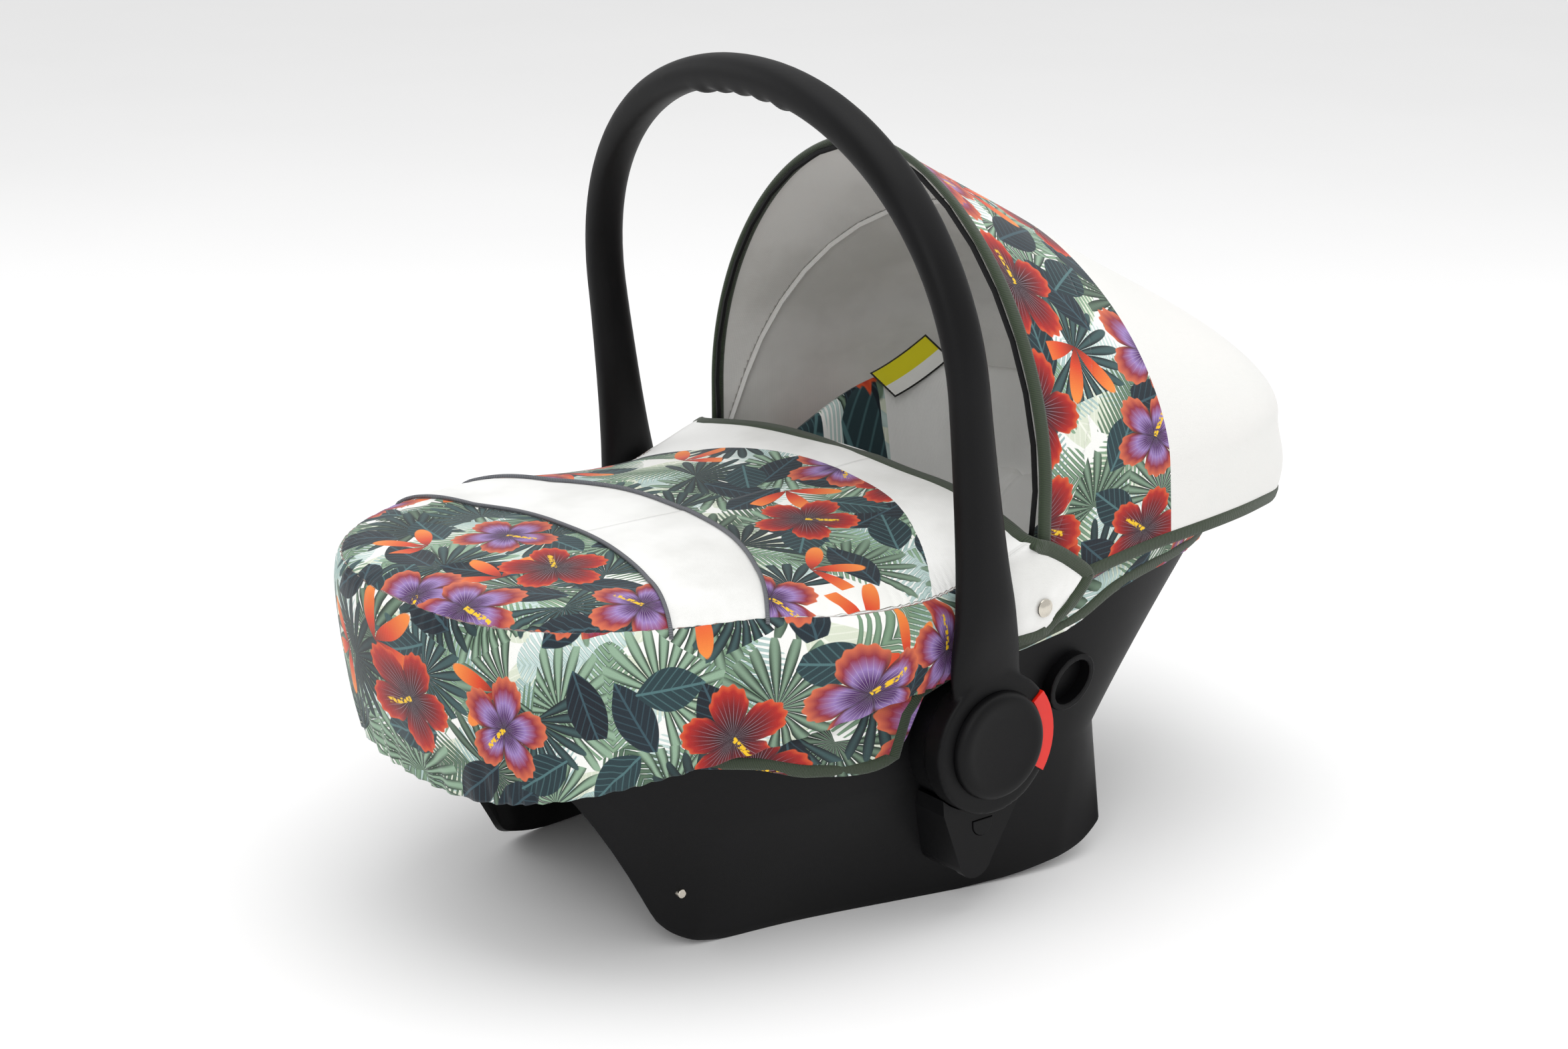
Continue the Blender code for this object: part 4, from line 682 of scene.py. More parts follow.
def skirt_point(turn, share):
    """The outer wall from its bottom edge (0) past the waist (0.5) to the rim (1)."""
    top = rim_point(turn, 0.0, 0.010)
    rim_x, rim_y = outline(turn, **RIM)
    y = RUNNER_Y(rim_y)
    corner = min(1.0, (abs(rim_x) / (0.84 * SHELL_HALF_WIDTH)) ** 0.7)
    bottom = Vector((math.copysign(RUNNER_WIDTH(y) * SHELL_HALF_WIDTH * corner, rim_x), y, RUNNER_HEIGHT(y)))
    waist_x, waist_y = outline(turn, **WAIST)
    waist = Vector((waist_x, waist_y, 0.100))
    low, high = (bottom, waist) if share < 0.5 else (waist, top)
    wall_point = low.lerp(high, (share % 0.5) * 2 if share < 1 else 1.0)
    lip = Vector((top.x, top.y, top.z - 0.040 * (1 - share)))
    reach = abs(top.x) / SHELL_HALF_WIDTH
    return wall_point.lerp(lip, ease((0.72 - reach) / 0.18) if math.cos(turn) > 0 else 0.0)


def bowl_height(x, y):
    reach = BOWL["wide"] - BOWL["front"] if y < BOWL["wide"] else BOWL["rear"] - BOWL["wide"]
    square = BOWL["front_square"]
    across = (abs(x) / BOWL["half_width"]) ** square
    out = (across + (abs(y - BOWL["wide"]) / reach) ** square) ** (1 / square)
    floor = FLOOR_HEIGHT(y)
    return floor + (RIM_HEIGHT(y) - 0.008 - floor) * min(1.0, out) ** 6.0


def bowl_point(turn, out):
    x, y = outline(turn, **BOWL)
    x, y = x * out, BOWL["wide"] + (y - BOWL["wide"]) * out
    return Vector((x, y, bowl_height(x, y)))


def seat_point(turn, share):
    """From the rim's outside (0), over its rounded top (0.25), down into the bowl's middle (1)."""
    if share < 0.25:
        over_rim = share / 0.25
        return rim_point(turn, RIM_ROUND(over_rim), RIM_DROP(over_rim))
    return bowl_point(turn, mix(0.985, 0.0, ((share - 0.25) / 0.75) ** 0.8))


def make_shell():
    """The black moulding: two rocker skirts, a rim, and the bowl that the baby lies in."""
    def point(u, v):
        turn = 2 * math.pi * u
        if v < 0.5:
            place = skirt_point(turn, v * 2)
        else:
            place = seat_point(turn, (v - 0.5) * 2)
        # The skirt's bottom edge is kept at or above the floor.
        place.z = max(0.0, place.z)
        return place

    shell = cloth_grid("rocker_shell", 200, 72, point, [BLACK], outward=Vector((0, 0, 0.12)))
    wall(shell, 0.004, -1.0)
    applied(shell)
    soft_edge = shell.modifiers.new("moulded_edge", "BEVEL")
    soft_edge.width = 0.0012
    soft_edge.segments = 2
    soft_edge.limit_method = "ANGLE"
    soft_edge.angle_limit = math.radians(55)
    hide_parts("seat_shell")
    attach(shell, "seat")


# ---------------------------------------------------------------- seat cover and pads

COVER_EDGE = curve_through(
    (RIM_FRONT, 0.158), (-0.200, 0.140), (-0.160, 0.126), (-0.085, 0.126), (-0.072, 0.172),
    (-0.025, 0.1805), (0.011, 0.180), (0.043, 0.182), (0.076, 0.190), (0.114, 0.205), (0.176, 0.212),
    (RIM_REAR, 0.214),
)
HEAD_ROLL = curve_through(
    (RIM_FRONT, 0.0), (-0.060, 0.0), (0.000, 0.008), (0.030, 0.018), (0.060, 0.034), (0.136, 0.050),
    (0.200, 0.053), (0.260, 0.048), (RIM_REAR, 0.044),
)
ROLL_CREST = 0.925


def lip_point(turn, share, lift):
    """The cover's lip outside the rim, from its edge (0) to the rim (1), lifted off the shell."""
    top = rim_point(turn, 0.0, 0.010)
    edge = min(COVER_EDGE(top.y), top.z - 0.003)
    height = mix(edge, top.z, share)
    low, high = skirt_point(turn, 0.75), top
    if height < low.z:
        low, high = skirt_point(turn, 0.5), low
    place = high.lerp(low, (high.z - height) / (high.z - low.z))
    ahead, behind = rim_point(turn + 0.02, 0.0, 0.01), rim_point(turn - 0.02, 0.0, 0.01)
    along = (ahead - behind).normalized()
    outward = Vector((along.y, -along.x, 0.0)).normalized()
    if outward.dot(Vector((top.x, top.y - RIM_WIDE, 0))) < 0:
        outward.negate()
    return place + outward * lift


def cover_point(u, v):
    turn = 2 * math.pi * u
    if v < 0.25:
        share = v / 0.25
        loose = 0.0012 * math.sin(37 * turn) * (1 - share) ** 2
        return lip_point(turn, share, COVER_GAP + 0.0012 + loose)
    way = (v - 0.25) / 0.75
    if way < 0.12:
        place = seat_point(turn, 0.25 * way / 0.12)
        roll = 0.0
    else:
        out = mix(0.985, 0.70, (way - 0.12) / 0.40) if way < 0.52 else mix(0.70, 0.0, (way - 0.52) / 0.48)
        place = bowl_point(turn, out)
        # The padded wall round the head stands up above the shell's rim.
        if out > ROLL_CREST:
            crest = math.sqrt(max(0.0, 1 - ((out - ROLL_CREST) / (0.986 - ROLL_CREST)) ** 2))
        else:
            crest = math.exp(-(((out - ROLL_CREST) / 0.085) ** 2))
        rim = outline(turn, **BOWL)[1]
        above_place = max(0.0, HEAD_ROLL(rim) + RIM_HEIGHT(rim) - 0.012 - place.z)
        roll = above_place * crest if HEAD_ROLL(rim) > 0 else 0.0
        roll *= ease(HEAD_ROLL(rim) / 0.030)
    lift = COVER_GAP + 0.003 + roll
    wrinkle = 0.0012 * noise.noise(Vector((place.x * 22, place.y * 22, 3.1)))
    return Vector((place.x, place.y, place.z + lift + wrinkle))


def make_seat_cover():
    """The quilted seat cover: printed outside the rim and in the seat, white round the head."""
    def uv(u, v, place):
        if v < 0.26:
            return (u - 0.5) * 1.75, place.z
        return place.x, place.y * 1.05

    def zone(_, v, place):
        return -1.0 if v < 0.26 else place.y - 0.150

    cover = cloth_grid(
        "quilted_seat_cover", 220, 96, cover_point, [PRINT_SEAT],
        uv=uv, zone=zone, outward=Vector((0, 0, 0.12)),
    )
    wall(cover, 0.0022, 1.0)
    applied(cover)
    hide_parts("seat_cover")
    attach(cover, "seat")
    turns = [2 * math.pi * step / 260 for step in range(261)]
    points = [lip_point(turn, 0.0, COVER_GAP + 0.0023) for turn in turns]
    inwards = [
        (lip_point(turn, 0.2, COVER_GAP + 0.0023) - point).normalized() for turn, point in zip(turns, points)
    ]
    edge = tape("seat_cover_binding", points, inwards, [TAPE], 0.010, 0.0042, closed=True)
    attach(edge, "seat")
    return cover


def stuffed(node, name, finish, swell, body="seat", voxel=0.005):
    """A pad blown up from its CAD solid by cloth simulation, with its swelling capped."""
    shape = bmesh.new()
    shape.from_mesh(frame["nodes"][node].data)
    bmesh.ops.remove_doubles(shape, verts=shape.verts, dist=2e-6)
    pad = piece_from(name, shape, [finish], 60)
    remesh = pad.modifiers.new("even_mesh", "REMESH")
    remesh.mode = "VOXEL"
    remesh.voxel_size = voxel
    applied(pad)
    start = [vert.co.copy() for vert in pad.data.vertices]
    cloth = pad.modifiers.new("cloth", "CLOTH")
    cloth.settings.use_pressure = True
    cloth.settings.uniform_pressure_force = 4.0
    cloth.settings.effector_weights.gravity = 0.0
    cloth.settings.quality = 5
    cloth.collision_settings.use_collision = False
    cloth.point_cache.frame_start = 1
    cloth.point_cache.frame_end = 20
    for number in range(1, 21):
        bpy.context.scene.frame_set(number)
    applied(pad)
    bpy.context.scene.frame_set(1)
    for vert, origin in zip(pad.data.vertices, start):
        moved = vert.co - origin
        if moved.length > swell:
            moved *= swell / moved.length
        # The underside rests on the seat, so it only spreads.
        moved.z = max(moved.z, -0.0005)
        vert.co = origin + moved
    smooth = pad.modifiers.new("even", "CORRECTIVE_SMOOTH")
    smooth.iterations = 4
    smooth.use_only_smooth = True
    fine = pad.modifiers.new("fine", "SUBSURF")
    fine.levels = 1
    fine.render_levels = 1
    applied(pad)
    cloth_uv(pad)
    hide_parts(node)
    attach(pad, body)
    return pad


def cloth_uv(piece):
    """Lays a pad's cloth coordinates flat from above, in metres."""
    mesh = piece.data
    layer = mesh.uv_layers.get("cloth") or mesh.uv_layers.new(name="cloth")
    for loop in mesh.loops:
        place = mesh.vertices[loop.vertex_index].co
        layer.data[loop.index].uv = (place.x, place.y + place.z * 0.35)


def press_seams(piece, lines, depth, width):
    """Presses sewn channels into a pad's upper side, along lines given as distance functions of (x, y)."""
    for vert in piece.data.vertices:
        if vert.normal.z < 0.1:
            continue
        nearest = min(abs(line(vert.co.x, vert.co.y)) for line in lines)
        vert.co -= vert.normal * depth * math.exp(-((nearest / width) ** 2))


def make_pads():
    body = stuffed("body_pad", "printed_body_pad", PRINT, 0.007)
    press_seams(body, [lambda x, y: abs(x) - 0.052, lambda x, y: y + 0.02], 0.0035, 0.004)
    head = stuffed("head_pad", "white_head_pad", WHITE, 0.006)
    press_seams(head, [lambda x, y: abs(x) - 0.045], 0.003, 0.004)
    for side in SIDES:
        bolster = stuffed(f"side_bolster_{side}", f"white_side_bolster_{side}", WHITE, 0.007)


LABEL_LENGTH, LABEL_WIDTH = 0.062, 0.028
WOVEN_WIDTH = 0.026
LABEL_GAP = 0.0015
LABEL_LINE = Vector((0.10, 0.62, 0.42))
HEAD_ROUND = 0.11


def make_label(head_wall):
    """A plain yellow label stitched inside the padded wall round the head."""
    tree = BVHTree.FromObject(head_wall, bpy.context.evaluated_depsgraph_get())
    # It stands high on the inner face of the wall, and bends with the wall's curve.
    outwards = Vector((-1.0, 0.12, 0.0)).normalized()
    middle, inward, _, _ = tree.ray_cast(Vector((-0.020, 0.160, 0.287)), outwards)
    if inward.x < 0:
        inward.negate()
    along = (LABEL_LINE - inward * inward.dot(LABEL_LINE)).normalized()
    down = along.cross(inward).normalized()
    if down.z > 0:
        down.negate()

    def point(u, v):
        side = (u - 0.5) * LABEL_LENGTH
        lift = LABEL_GAP + side * side / (2 * HEAD_ROUND)
        return middle + along * side + down * ((0.5 - v) * LABEL_WIDTH) + inward * lift

    def uv(u, v, _):
        return (u - 0.5) * LABEL_LENGTH, (v - 0.5) * WOVEN_WIDTH

    label = cloth_grid("plain_sewn_label", 24, 12, point, [LABEL], uv=uv)
    wall(label, 0.0005, 1.0)
    applied(label)
    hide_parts("blank_label")
    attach(label, "seat")


def make_strap(node):
    """A webbing strap along its CAD ribbon, with rounded selvedges and a thickness of 1.6 mm."""
    shape = bmesh.new()
    shape.from_mesh(frame["nodes"][node].data)
    bmesh.ops.remove_doubles(shape, verts=shape.verts, dist=2e-6)
    strap = piece_from(node + "_webbing", shape, [WEBBING], 50)
    fine = strap.modifiers.new("soft", "BEVEL")
    fine.width = 0.0008
    fine.segments = 2
    fine.limit_method = "ANGLE"
    fine.angle_limit = math.radians(50)
    applied(strap)
    cloth_uv(strap)
    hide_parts(node)
    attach(strap, "seat")


# ---------------------------------------------------------------- foot cover

FOOT_FRONT = FRONT + FOOT_THICKNESS / 2
FOOT_WIDE = -0.100
FOOT_HEM = curve_through(
    (FRONT, 0.122), (-0.322, 0.138), (-0.260, 0.153), (-0.179, 0.163), (-0.080, 0.172),
    (0.000, 0.186), (0.030, 0.188), (EAR_END, 0.204),
)
FOOT_SEAM = curve_through(
    (FRONT, 0.251), (-0.263, 0.251), (-0.198, 0.249), (-0.133, 0.239), (-0.065, 0.236),
    (-0.020, 0.246), (0.015, 0.258), (0.035, 0.260), (EAR_END, 0.244),
)
EAR_EDGE = curve_through(
    (0.0, 0.036), (0.18, 0.058), (0.5, EAR_END), (0.7, 0.068), (0.85, 0.052), (1.0, HOOD_FRONT - 0.006),
    (1.12, HOOD_FRONT - 0.007), (1.35, 0.027), (1.65, 0.036), (2.0, 0.040),
)
FOOT_TOP = 0.262
FOOT_TOP_REAR = 0.270


def foot_plan(way):
    """The foot cover's plan outline, from the front centre (0) to the end of the ear (1)."""
    half_width = FOOT_OUT - FOOT_THICKNESS / 2
    if way < 0.6:
        angle = way / 0.6 * math.pi / 2
        reach = FOOT_WIDE - FOOT_FRONT
        return (
            half_width * power(math.sin(angle), 2 / 2.6),
            FOOT_WIDE - reach * power(math.cos(angle), 2 / 2.6),
        )
    return half_width, mix(FOOT_WIDE, EAR_END, (way - 0.6) / 0.4)


def foot_point(way, level):
    """A point of the foot cover: level 0 is its hem, 1 its seam and 2 its middle line."""
    x, y = foot_plan(way)
    y += (EAR_EDGE(level) - EAR_END) * ease((way - 0.6) / 0.4)
    seam = FOOT_SEAM(y)
    if level <= 1:
        tuck = -0.0034 * ease(1 - level / 0.18) * (x / FOOT_OUT)
        front_tuck = 0.018 * (1 - level) ** 1.5 * (1 - ease(way / 0.6))
        return Vector((x + tuck, y + front_tuck, mix(FOOT_HEM(y), seam, level)))
    inward = level - 1
    spine_y = mix(-0.240, EAR_EDGE(2.0), ease(way))
    px, py = x * (1 - inward), mix(y, spine_y, inward)
    crown = mix(FOOT_TOP, FOOT_TOP_REAR, ease((py + 0.09) / 0.12)) - seam
    return Vector((px, py, seam + crown * math.sin(math.pi / 2 * min(1.0, inward * 1.25)) ** 0.8))


def foot_surface(u, v):
    """The visible cover: u runs from the left ear round the front to the right one, v from hem to middle."""
    sign = 1.0 if u < 0.5 else -1.0
    way = abs(1 - 2 * u)
    level = 2 * v
    place = foot_point(way, level)
    out = Vector((place.x, place.y + 0.16, 0.0))
    out = out.normalized() if out.length > 1e-4 else Vector((0, -1, 0))
    girth = way * 0.62
    # Elastic gathers the hem; the seam is drawn in; the cloth between is full.
    front = 1 - ease((way - 0.72) / 0.2)
    ripple = math.sin(girth * 330 + 2.2 * math.sin(girth * 57))
    gather = ripple * 0.0016 * math.exp(-((level / 0.22) ** 2)) * front
    full = 0.0034 * math.sin(math.pi * min(1.0, level)) * front if level < 1 else 0.0
    seam = -0.0022 * math.exp(-(((level - 1.0) / 0.022) ** 2)) * front
    pucker = 0.0008 * math.sin(girth * 560) * math.exp(-(((level - 1.0) / 0.10) ** 2)) * front
    drape = noise.noise(Vector((sign * place.x * 13, place.y * 13, place.z * 18 + 4.0 * sign)))
    fold = 0.0018 * drape * (ease(level / 0.3) if level < 1 else 1.0)
    place += out * (gather + full * 0.55 + (seam + pucker + fold * 0.6 if level <= 1.0 else 0.0))
    if level > 1.0:
        puff = 0.0022 * math.sin(math.pi * min(1.0, (level - 1.0) / 0.35))
        place.z += seam + pucker + fold + puff * front
    # The rounded shoulder between side and top.
    corner = math.exp(-(((level - 1.0) / 0.10) ** 2))
    place -= out * 0.0026 * corner * front
    place.z -= 0.0015 * corner * front
    return Vector((place.x * sign, place.y, place.z))


def band_front(x):
    return -0.218 - 0.050 * (abs(x) / 0.18) ** 2


def band_middle(x):
    return -0.132 - 0.064 * (abs(x) / 0.18) ** 2


def band_rear(x):
    return 0.000 - 0.062 * (abs(x) / 0.18) ** 2


def foot_zone(_, v, place):
    """Below 0 front print, 0 to 1 white band, 1 to 2 print band, above 2 the white upper and ears."""
    if v < 0.5:
        return -1.0 if place.y < -0.030 else 2.0 + (place.y + 0.030) * 10
    edges = [band_front(place.x), band_middle(place.x), band_rear(place.x)]
    if place.y < edges[0]:
        return (place.y - edges[0]) * 5
    if place.y < edges[1]:
        return (place.y - edges[0]) / (edges[1] - edges[0])
    if place.y < edges[2]:
        return 1 + (place.y - edges[1]) / (edges[2] - edges[1])
    return 2 + (place.y - edges[2]) * 5


def make_foot_cover():
    def uv(u, v, place):
        if v < 0.5:
            return (u - 0.5) * 1.24 + 0.6, place.z + 0.3
        return place.x, place.y

    cover = cloth_grid(
        "buttoned_foot_cover", 300, 110, foot_surface, [FOOT_CLOTH, LINING], uv=uv, zone=foot_zone,
        outward=Vector((0, -0.16, 0.10)),
    )
    wall(cover, 0.0018, 0.0, 1)
    applied(cover)
    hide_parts("foot_cover")
    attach(cover, "seat")
    tree = BVHTree.FromObject(cover, bpy.context.evaluated_depsgraph_get())

    def laid(line, name, radius, finish, raised):
        points = []
        for step in range(121):
            x = mix(-0.186, 0.186, step / 120)
            hit = tree.ray_cast(Vector((x, line(x), 0.40)), Vector((0, 0, -1)))[0]
            if hit and hit.z > 0.236:
                points.append(hit + Vector((0, 0, raised)))
        cord = cord_line(name, points, radius, finish)
        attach(cord, "seat")

    laid(band_front, "front_piping", 0.0014, PIPING, 0.0004)
    laid(band_middle, "middle_piping", 0.0014, PIPING, 0.0004)
    path, inwards = [], []
    for step in range(30):
        u = mix(0.13, 0.0, step / 30)
        path.append(foot_surface(u, 0.0))
        inwards.append(foot_surface(u, 0.04) - path[-1])
    for step in range(61):
        v = step / 60
        path.append(foot_surface(0.0, v))
        inwards.append(foot_surface(0.02, v) - path[-1])
    mirrored = [Vector((-point.x, point.y, point.z)) for point in path[-2::-1]]
    mirrored_in = [Vector((-way.x, way.y, way.z)) for way in inwards[-2::-1]]
    edge = tape("foot_cover_binding", path + mirrored, inwards + mirrored_in, [TAPE], 0.0105, 0.0044)
    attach(edge, "seat")
    for side, sign in SIDES.items():
        make_snap(side, sign)


def make_snap(side, sign):
    """A press stud's cap: a low dome with a rolled edge, 13 mm across."""
    shape = bmesh.new()
    profile = [
        (0.0, 0.0026), (0.002, 0.0025), (0.004, 0.0020), (0.0053, 0.0012),
        (0.0062, 0.0010), (0.0065, 0.0004), (0.0060, 0.0),
    ]
    verts = [shape.verts.new((depth, radius, 0.0)) for radius, depth in profile]
    edges = [shape.edges.new(pair) for pair in zip(verts, verts[1:])]
    bmesh.ops.spin(
        shape, geom=verts + edges, cent=(0, 0, 0), axis=(1, 0, 0), angle=2 * math.pi, steps=40, use_merge=True
    )
    bmesh.ops.remove_doubles(shape, verts=shape.verts, dist=1e-6)
    bmesh.ops.holes_fill(shape, edges=shape.edges, sides=60)
    bmesh.ops.scale(shape, vec=(sign, 1, 1), verts=shape.verts)
    bmesh.ops.translate(shape, vec=(sign * (FOOT_OUT + 0.0006), SNAP_Y, SNAP_Z), verts=shape.verts)
    bmesh.ops.recalc_face_normals(shape, faces=shape.faces)
    stud = piece_from(f"press_stud_{side}", shape, [NICKEL])
    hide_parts(f"snap_{side}")
    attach(stud, "seat")


# ---------------------------------------------------------------- hood

HOOD_HEM = curve_through(
    (HOOD_FRONT, 0.2155), (0.070, 0.222), (0.150, 0.231), (0.250, 0.234), (0.325, 0.222), (REAR, 0.216)
)


def hood_half_width(y):
    wide, rear = 0.150, REAR - 0.023
    width = HOOD_OUT - HOOD_THICKNESS
    if y < wide:
        return width
    return width * max(0.0, 1 - (min(1.0, (y - wide) / (rear - wide))) ** 2.5) ** (1 / 2.5)


def hood_rise(y):
    start, rear = 0.200, REAR - 0.023
    rise = HOOD_TOP - 0.564 * (y - HOOD_FRONT) - HOOD_SHOULDER
    rounding = max(0.0, 1 - max(0.0, min(1.0, (y - start) / (rear - start))) ** 7) ** 0.5
    return max(0.0, rise) * rounding


def hood_height(x, y):
    half = hood_half_width(y)
    if half < 1e-6:
        return HOOD_SHOULDER
    inside = max(0.0, 1 - min(1.0, abs(x) / half) ** 1.85)
    return HOOD_SHOULDER + hood_rise(y) * inside ** (1 / 1.85)


def hood_plan(turn, grow):
    wide, rear = 0.150, REAR - 0.023 + grow
    width = HOOD_OUT - HOOD_THICKNESS
    if turn < math.pi / 3:
        angle = turn * 1.5
        return width * power(math.sin(angle), 0.8), wide + (rear - wide) * power(math.cos(angle), 0.8)
    return width, mix(wide, HOOD_FRONT, (turn - math.pi / 3) / (math.pi / 6))


def hood_point(u, v):
    """The hood's inner face: u from the left front round the rear to the right front, v from hem to spine."""
    sign = 1.0 if u < 0.5 else -1.0
    turn = math.pi / 2 * abs(1 - 2 * u)
    if v < 0.3:
        share = v / 0.3
        low = 1 - share
        grow = 0.0065 * (1 - math.cos(1.6 * math.pi * low)) - 0.004 * low**2
        x, y = hood_plan(turn, grow)
        place = Vector((sign * x, y, mix(HOOD_HEM(y), HOOD_SHOULDER, share)))
    else:
        inward = 1 - math.cos(math.pi / 2 * (v - 0.3) / 0.7)
        x, y = hood_plan(turn, 0.0)
        spine_y = mix(REAR - 0.10, HOOD_FRONT, turn / (math.pi / 2))
        px, py = x * (1 - inward), mix(y, spine_y, inward)
        place = Vector((sign * px, py, hood_height(px, py)))
    # Gentle pulls in the cloth behind the bows.
    loose = ease((place.y - HOOD_FRONT) / 0.06)
    pull = noise.noise(Vector((place.x * 9, place.y * 9, place.z * 9)))
    centre = Vector((0, 0.14, 0.26))
    return place + (place - centre).normalized() * (0.0022 * pull * loose)


def make_hood():
    """One curved canopy, cut in two at the middle bow: printed in front, white behind."""
    normal = Vector((0, math.cos(MID_BOW_ANGLE), -math.sin(MID_BOW_ANGLE)))
    panels = (("hood_front_canopy", True, "hood_front_panel"), ("hood_rear_canopy", False, "hood_rear_panel"))
    for name, keep_front, node in panels:
        def zone(_u, _v, place):
            return 0.152 - 0.016 * (place.z - 0.222) / 0.218 - place.y

        canopy = cloth_grid(
            name, 260, 120, hood_point, [HOOD_CLOTH, LINING],
            uv=hood_uv, zone=zone, outward=Vector((0, 0.15, 0.25)),
        )
        shape = bmesh.new()
        shape.from_mesh(canopy.data)
        bmesh.ops.bisect_plane(
            shape, geom=shape.verts[:] + shape.edges[:] + shape.faces[:], plane_co=HINGE, plane_no=normal,
            clear_outer=keep_front, clear_inner=not keep_front, dist=1e-6,
        )
        shape.to_mesh(canopy.data)
        shape.free()
        wall(canopy, 0.0018, 0.0, 1)
        applied(canopy)
        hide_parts(node)
        bend_hood(canopy, keep_front)
    rim, rim_in = hood_edge([(0.0, step / 80) for step in range(81)], (0.02, 0.0))
    front_tape = tape("hood_rim_binding", rim, rim_in, [TAPE], 0.0105, 0.0046)
    bend_hood(front_tape, True)
    hem, hem_in = [], []
    for step in range(241):
        u = step / 240
        place = hood_point(u, 0.0)
        hem.append(place)
        hem_in.append(hood_point(u, 0.03) - place)
    hem_tape = tape("hood_hem_binding", hem, hem_in, [TAPE], 0.0100, 0.0044)
    bend_hood(hem_tape, False)


def hood_uv(_, v, place):
    """Cloth coordinates in metres: round the arch, and from front to back."""
    down = 0.075 * v / 0.3 if v < 0.3 else 0.075 + 0.265 * (v - 0.3) / 0.7
    return math.copysign(1.0, place.x) * (0.34 - down), place.y + 0.35


def hood_edge(route, step_in):
    """Points along one edge of both halves of the hood, and the ways into the cloth."""
    left = [hood_point(u, v) for u, v in route]
    ways = [hood_point(u + step_in[0], v + step_in[1]) - point for (u, v), point in zip(route, left)]
    right = [Vector((-point.x, point.y, point.z)) for point in left[-2::-1]]
    right_ways = [Vector((-way.x, way.y, way.z)) for way in ways[-2::-1]]
    return left + right, ways + right_ways


def bend_hood(piece, in_front):
    """Bakes a hood piece's placement into its mesh, the same way for either half."""
    if in_front:
        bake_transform(piece)
    else:
        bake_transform(piece)


# ---------------------------------------------------------------- handle and hubs

LEG_DEPTH_AT = curve_through(
    (0.030, 0.058), (0.060, 0.058), (0.090, 0.050), (0.130, 0.041),
    (0.180, 0.0345), (0.250, 0.030), (0.45, 0.030),
)
LEG_THICKNESS_AT = curve_through(
    (0.000, 0.010), (0.040, 0.012), (0.090, 0.020), (0.30, 0.020), (0.40, 0.024)
)
LEAN = math.radians(6.7)


def arch_point(share):
    """The handle's middle line, from the left hub (0) over the grip (0.5) to the right hub (1)."""
    leg = 0.243
    sign = 1 if share <= 0.5 else -1
    up = min(share, 1 - share) * 2
    if up < 0.42:
        height = leg * up / 0.42
        return sign * mix(LEG_X, PLATE_OUTER - 0.0066, ease((0.105 - height) / 0.060)), height
    turn = (up - 0.42) / 0.58 * math.pi / 2
    return (
        sign * LEG_X * power(math.cos(turn), 2 / 2.1),
        leg + (HANDLE_REACH - leg) * power(math.sin(turn), 2 / 2.1),
    )


def handle_skin(u, v):
    """A point round the handle's rounded section, at u along it."""
    share = mix(0.015, 0.985, u)
    x, height = arch_point(share)
    before, after = arch_point(max(0.0, share - 0.002)), arch_point(min(1.0, share + 0.002))
    along = Vector((after[0] - before[0], 0, after[1] - before[1])).normalized()
    outward = Vector((-along.z, 0, along.x))
    if outward.dot(Vector((x, 0, height - 0.15))) < 0:
        outward.negate()
    angle = 2 * math.pi * v
    across = power(math.cos(angle), 0.85) * LEG_DEPTH_AT(height) / 2
    out = power(math.sin(angle), 0.85) * LEG_THICKNESS_AT(height) / 2
    if out < 0 and height > 0.3 and abs(x) < 0.0575:
        out -= 0.003 * (0.5 + 0.5 * math.cos(2 * math.pi * x / 0.023)) * abs(math.sin(angle))
    middle = Vector((x, 0, height)) + outward * out
    y = across * math.cos(LEAN) - middle.z * math.sin(LEAN)
    z = across * math.sin(LEAN) + middle.z * math.cos(LEAN)
    return Vector((middle.x, HUB.y + y, HUB.z + z))


def drum_shape(shape, radius, start, end, sides=96):
    made = bmesh.ops.create_cone(
        shape, cap_ends=True, segments=sides, radius1=radius, radius2=radius, depth=abs(end - start),
        matrix=Matrix.Translation(((start + end) / 2, HUB.y, HUB.z)) @ Matrix.Rotation(math.pi / 2, 4, "Y"),
    )
    return made["verts"]


def cutter(name, build):
    shape = bmesh.new()
    build(shape)
    bmesh.ops.recalc_face_normals(shape, faces=shape.faces)
    return piece_from(name, shape, [BLACK])


def take_away(piece, tool):
    step = piece.modifiers.new("cut", "BOOLEAN")
    step.operation = "DIFFERENCE"
    step.solver = "EXACT"
    step.object = tool
    applied(piece)
    bpy.data.objects.remove(tool, do_unlink=True)


def window_sector(shape, sign):
    """The gap in the end plate where the red release shows."""
    points = []
    for radius, sweep in ((CAP_RADIUS + 0.0002, range(17)), (PLATE_RADIUS + 0.012, range(16, -1, -1))):
        for step in sweep:
            angle = math.radians(mix(-35.6, 38.6, step / 16))
            points.append((HUB.y + radius * math.cos(angle), HUB.z + radius * math.sin(angle)))
    low = [shape.verts.new((sign * (PLATE_INNER - 0.01), y, z)) for y, z in points]
    face = shape.faces.new(low)
    grown = bmesh.ops.extrude_face_region(shape, geom=[face])
    moved = [item for item in grown["geom"] if isinstance(item, bmesh.types.BMVert)]
    bmesh.ops.translate(shape, vec=(sign * 0.06, 0, 0), verts=moved)


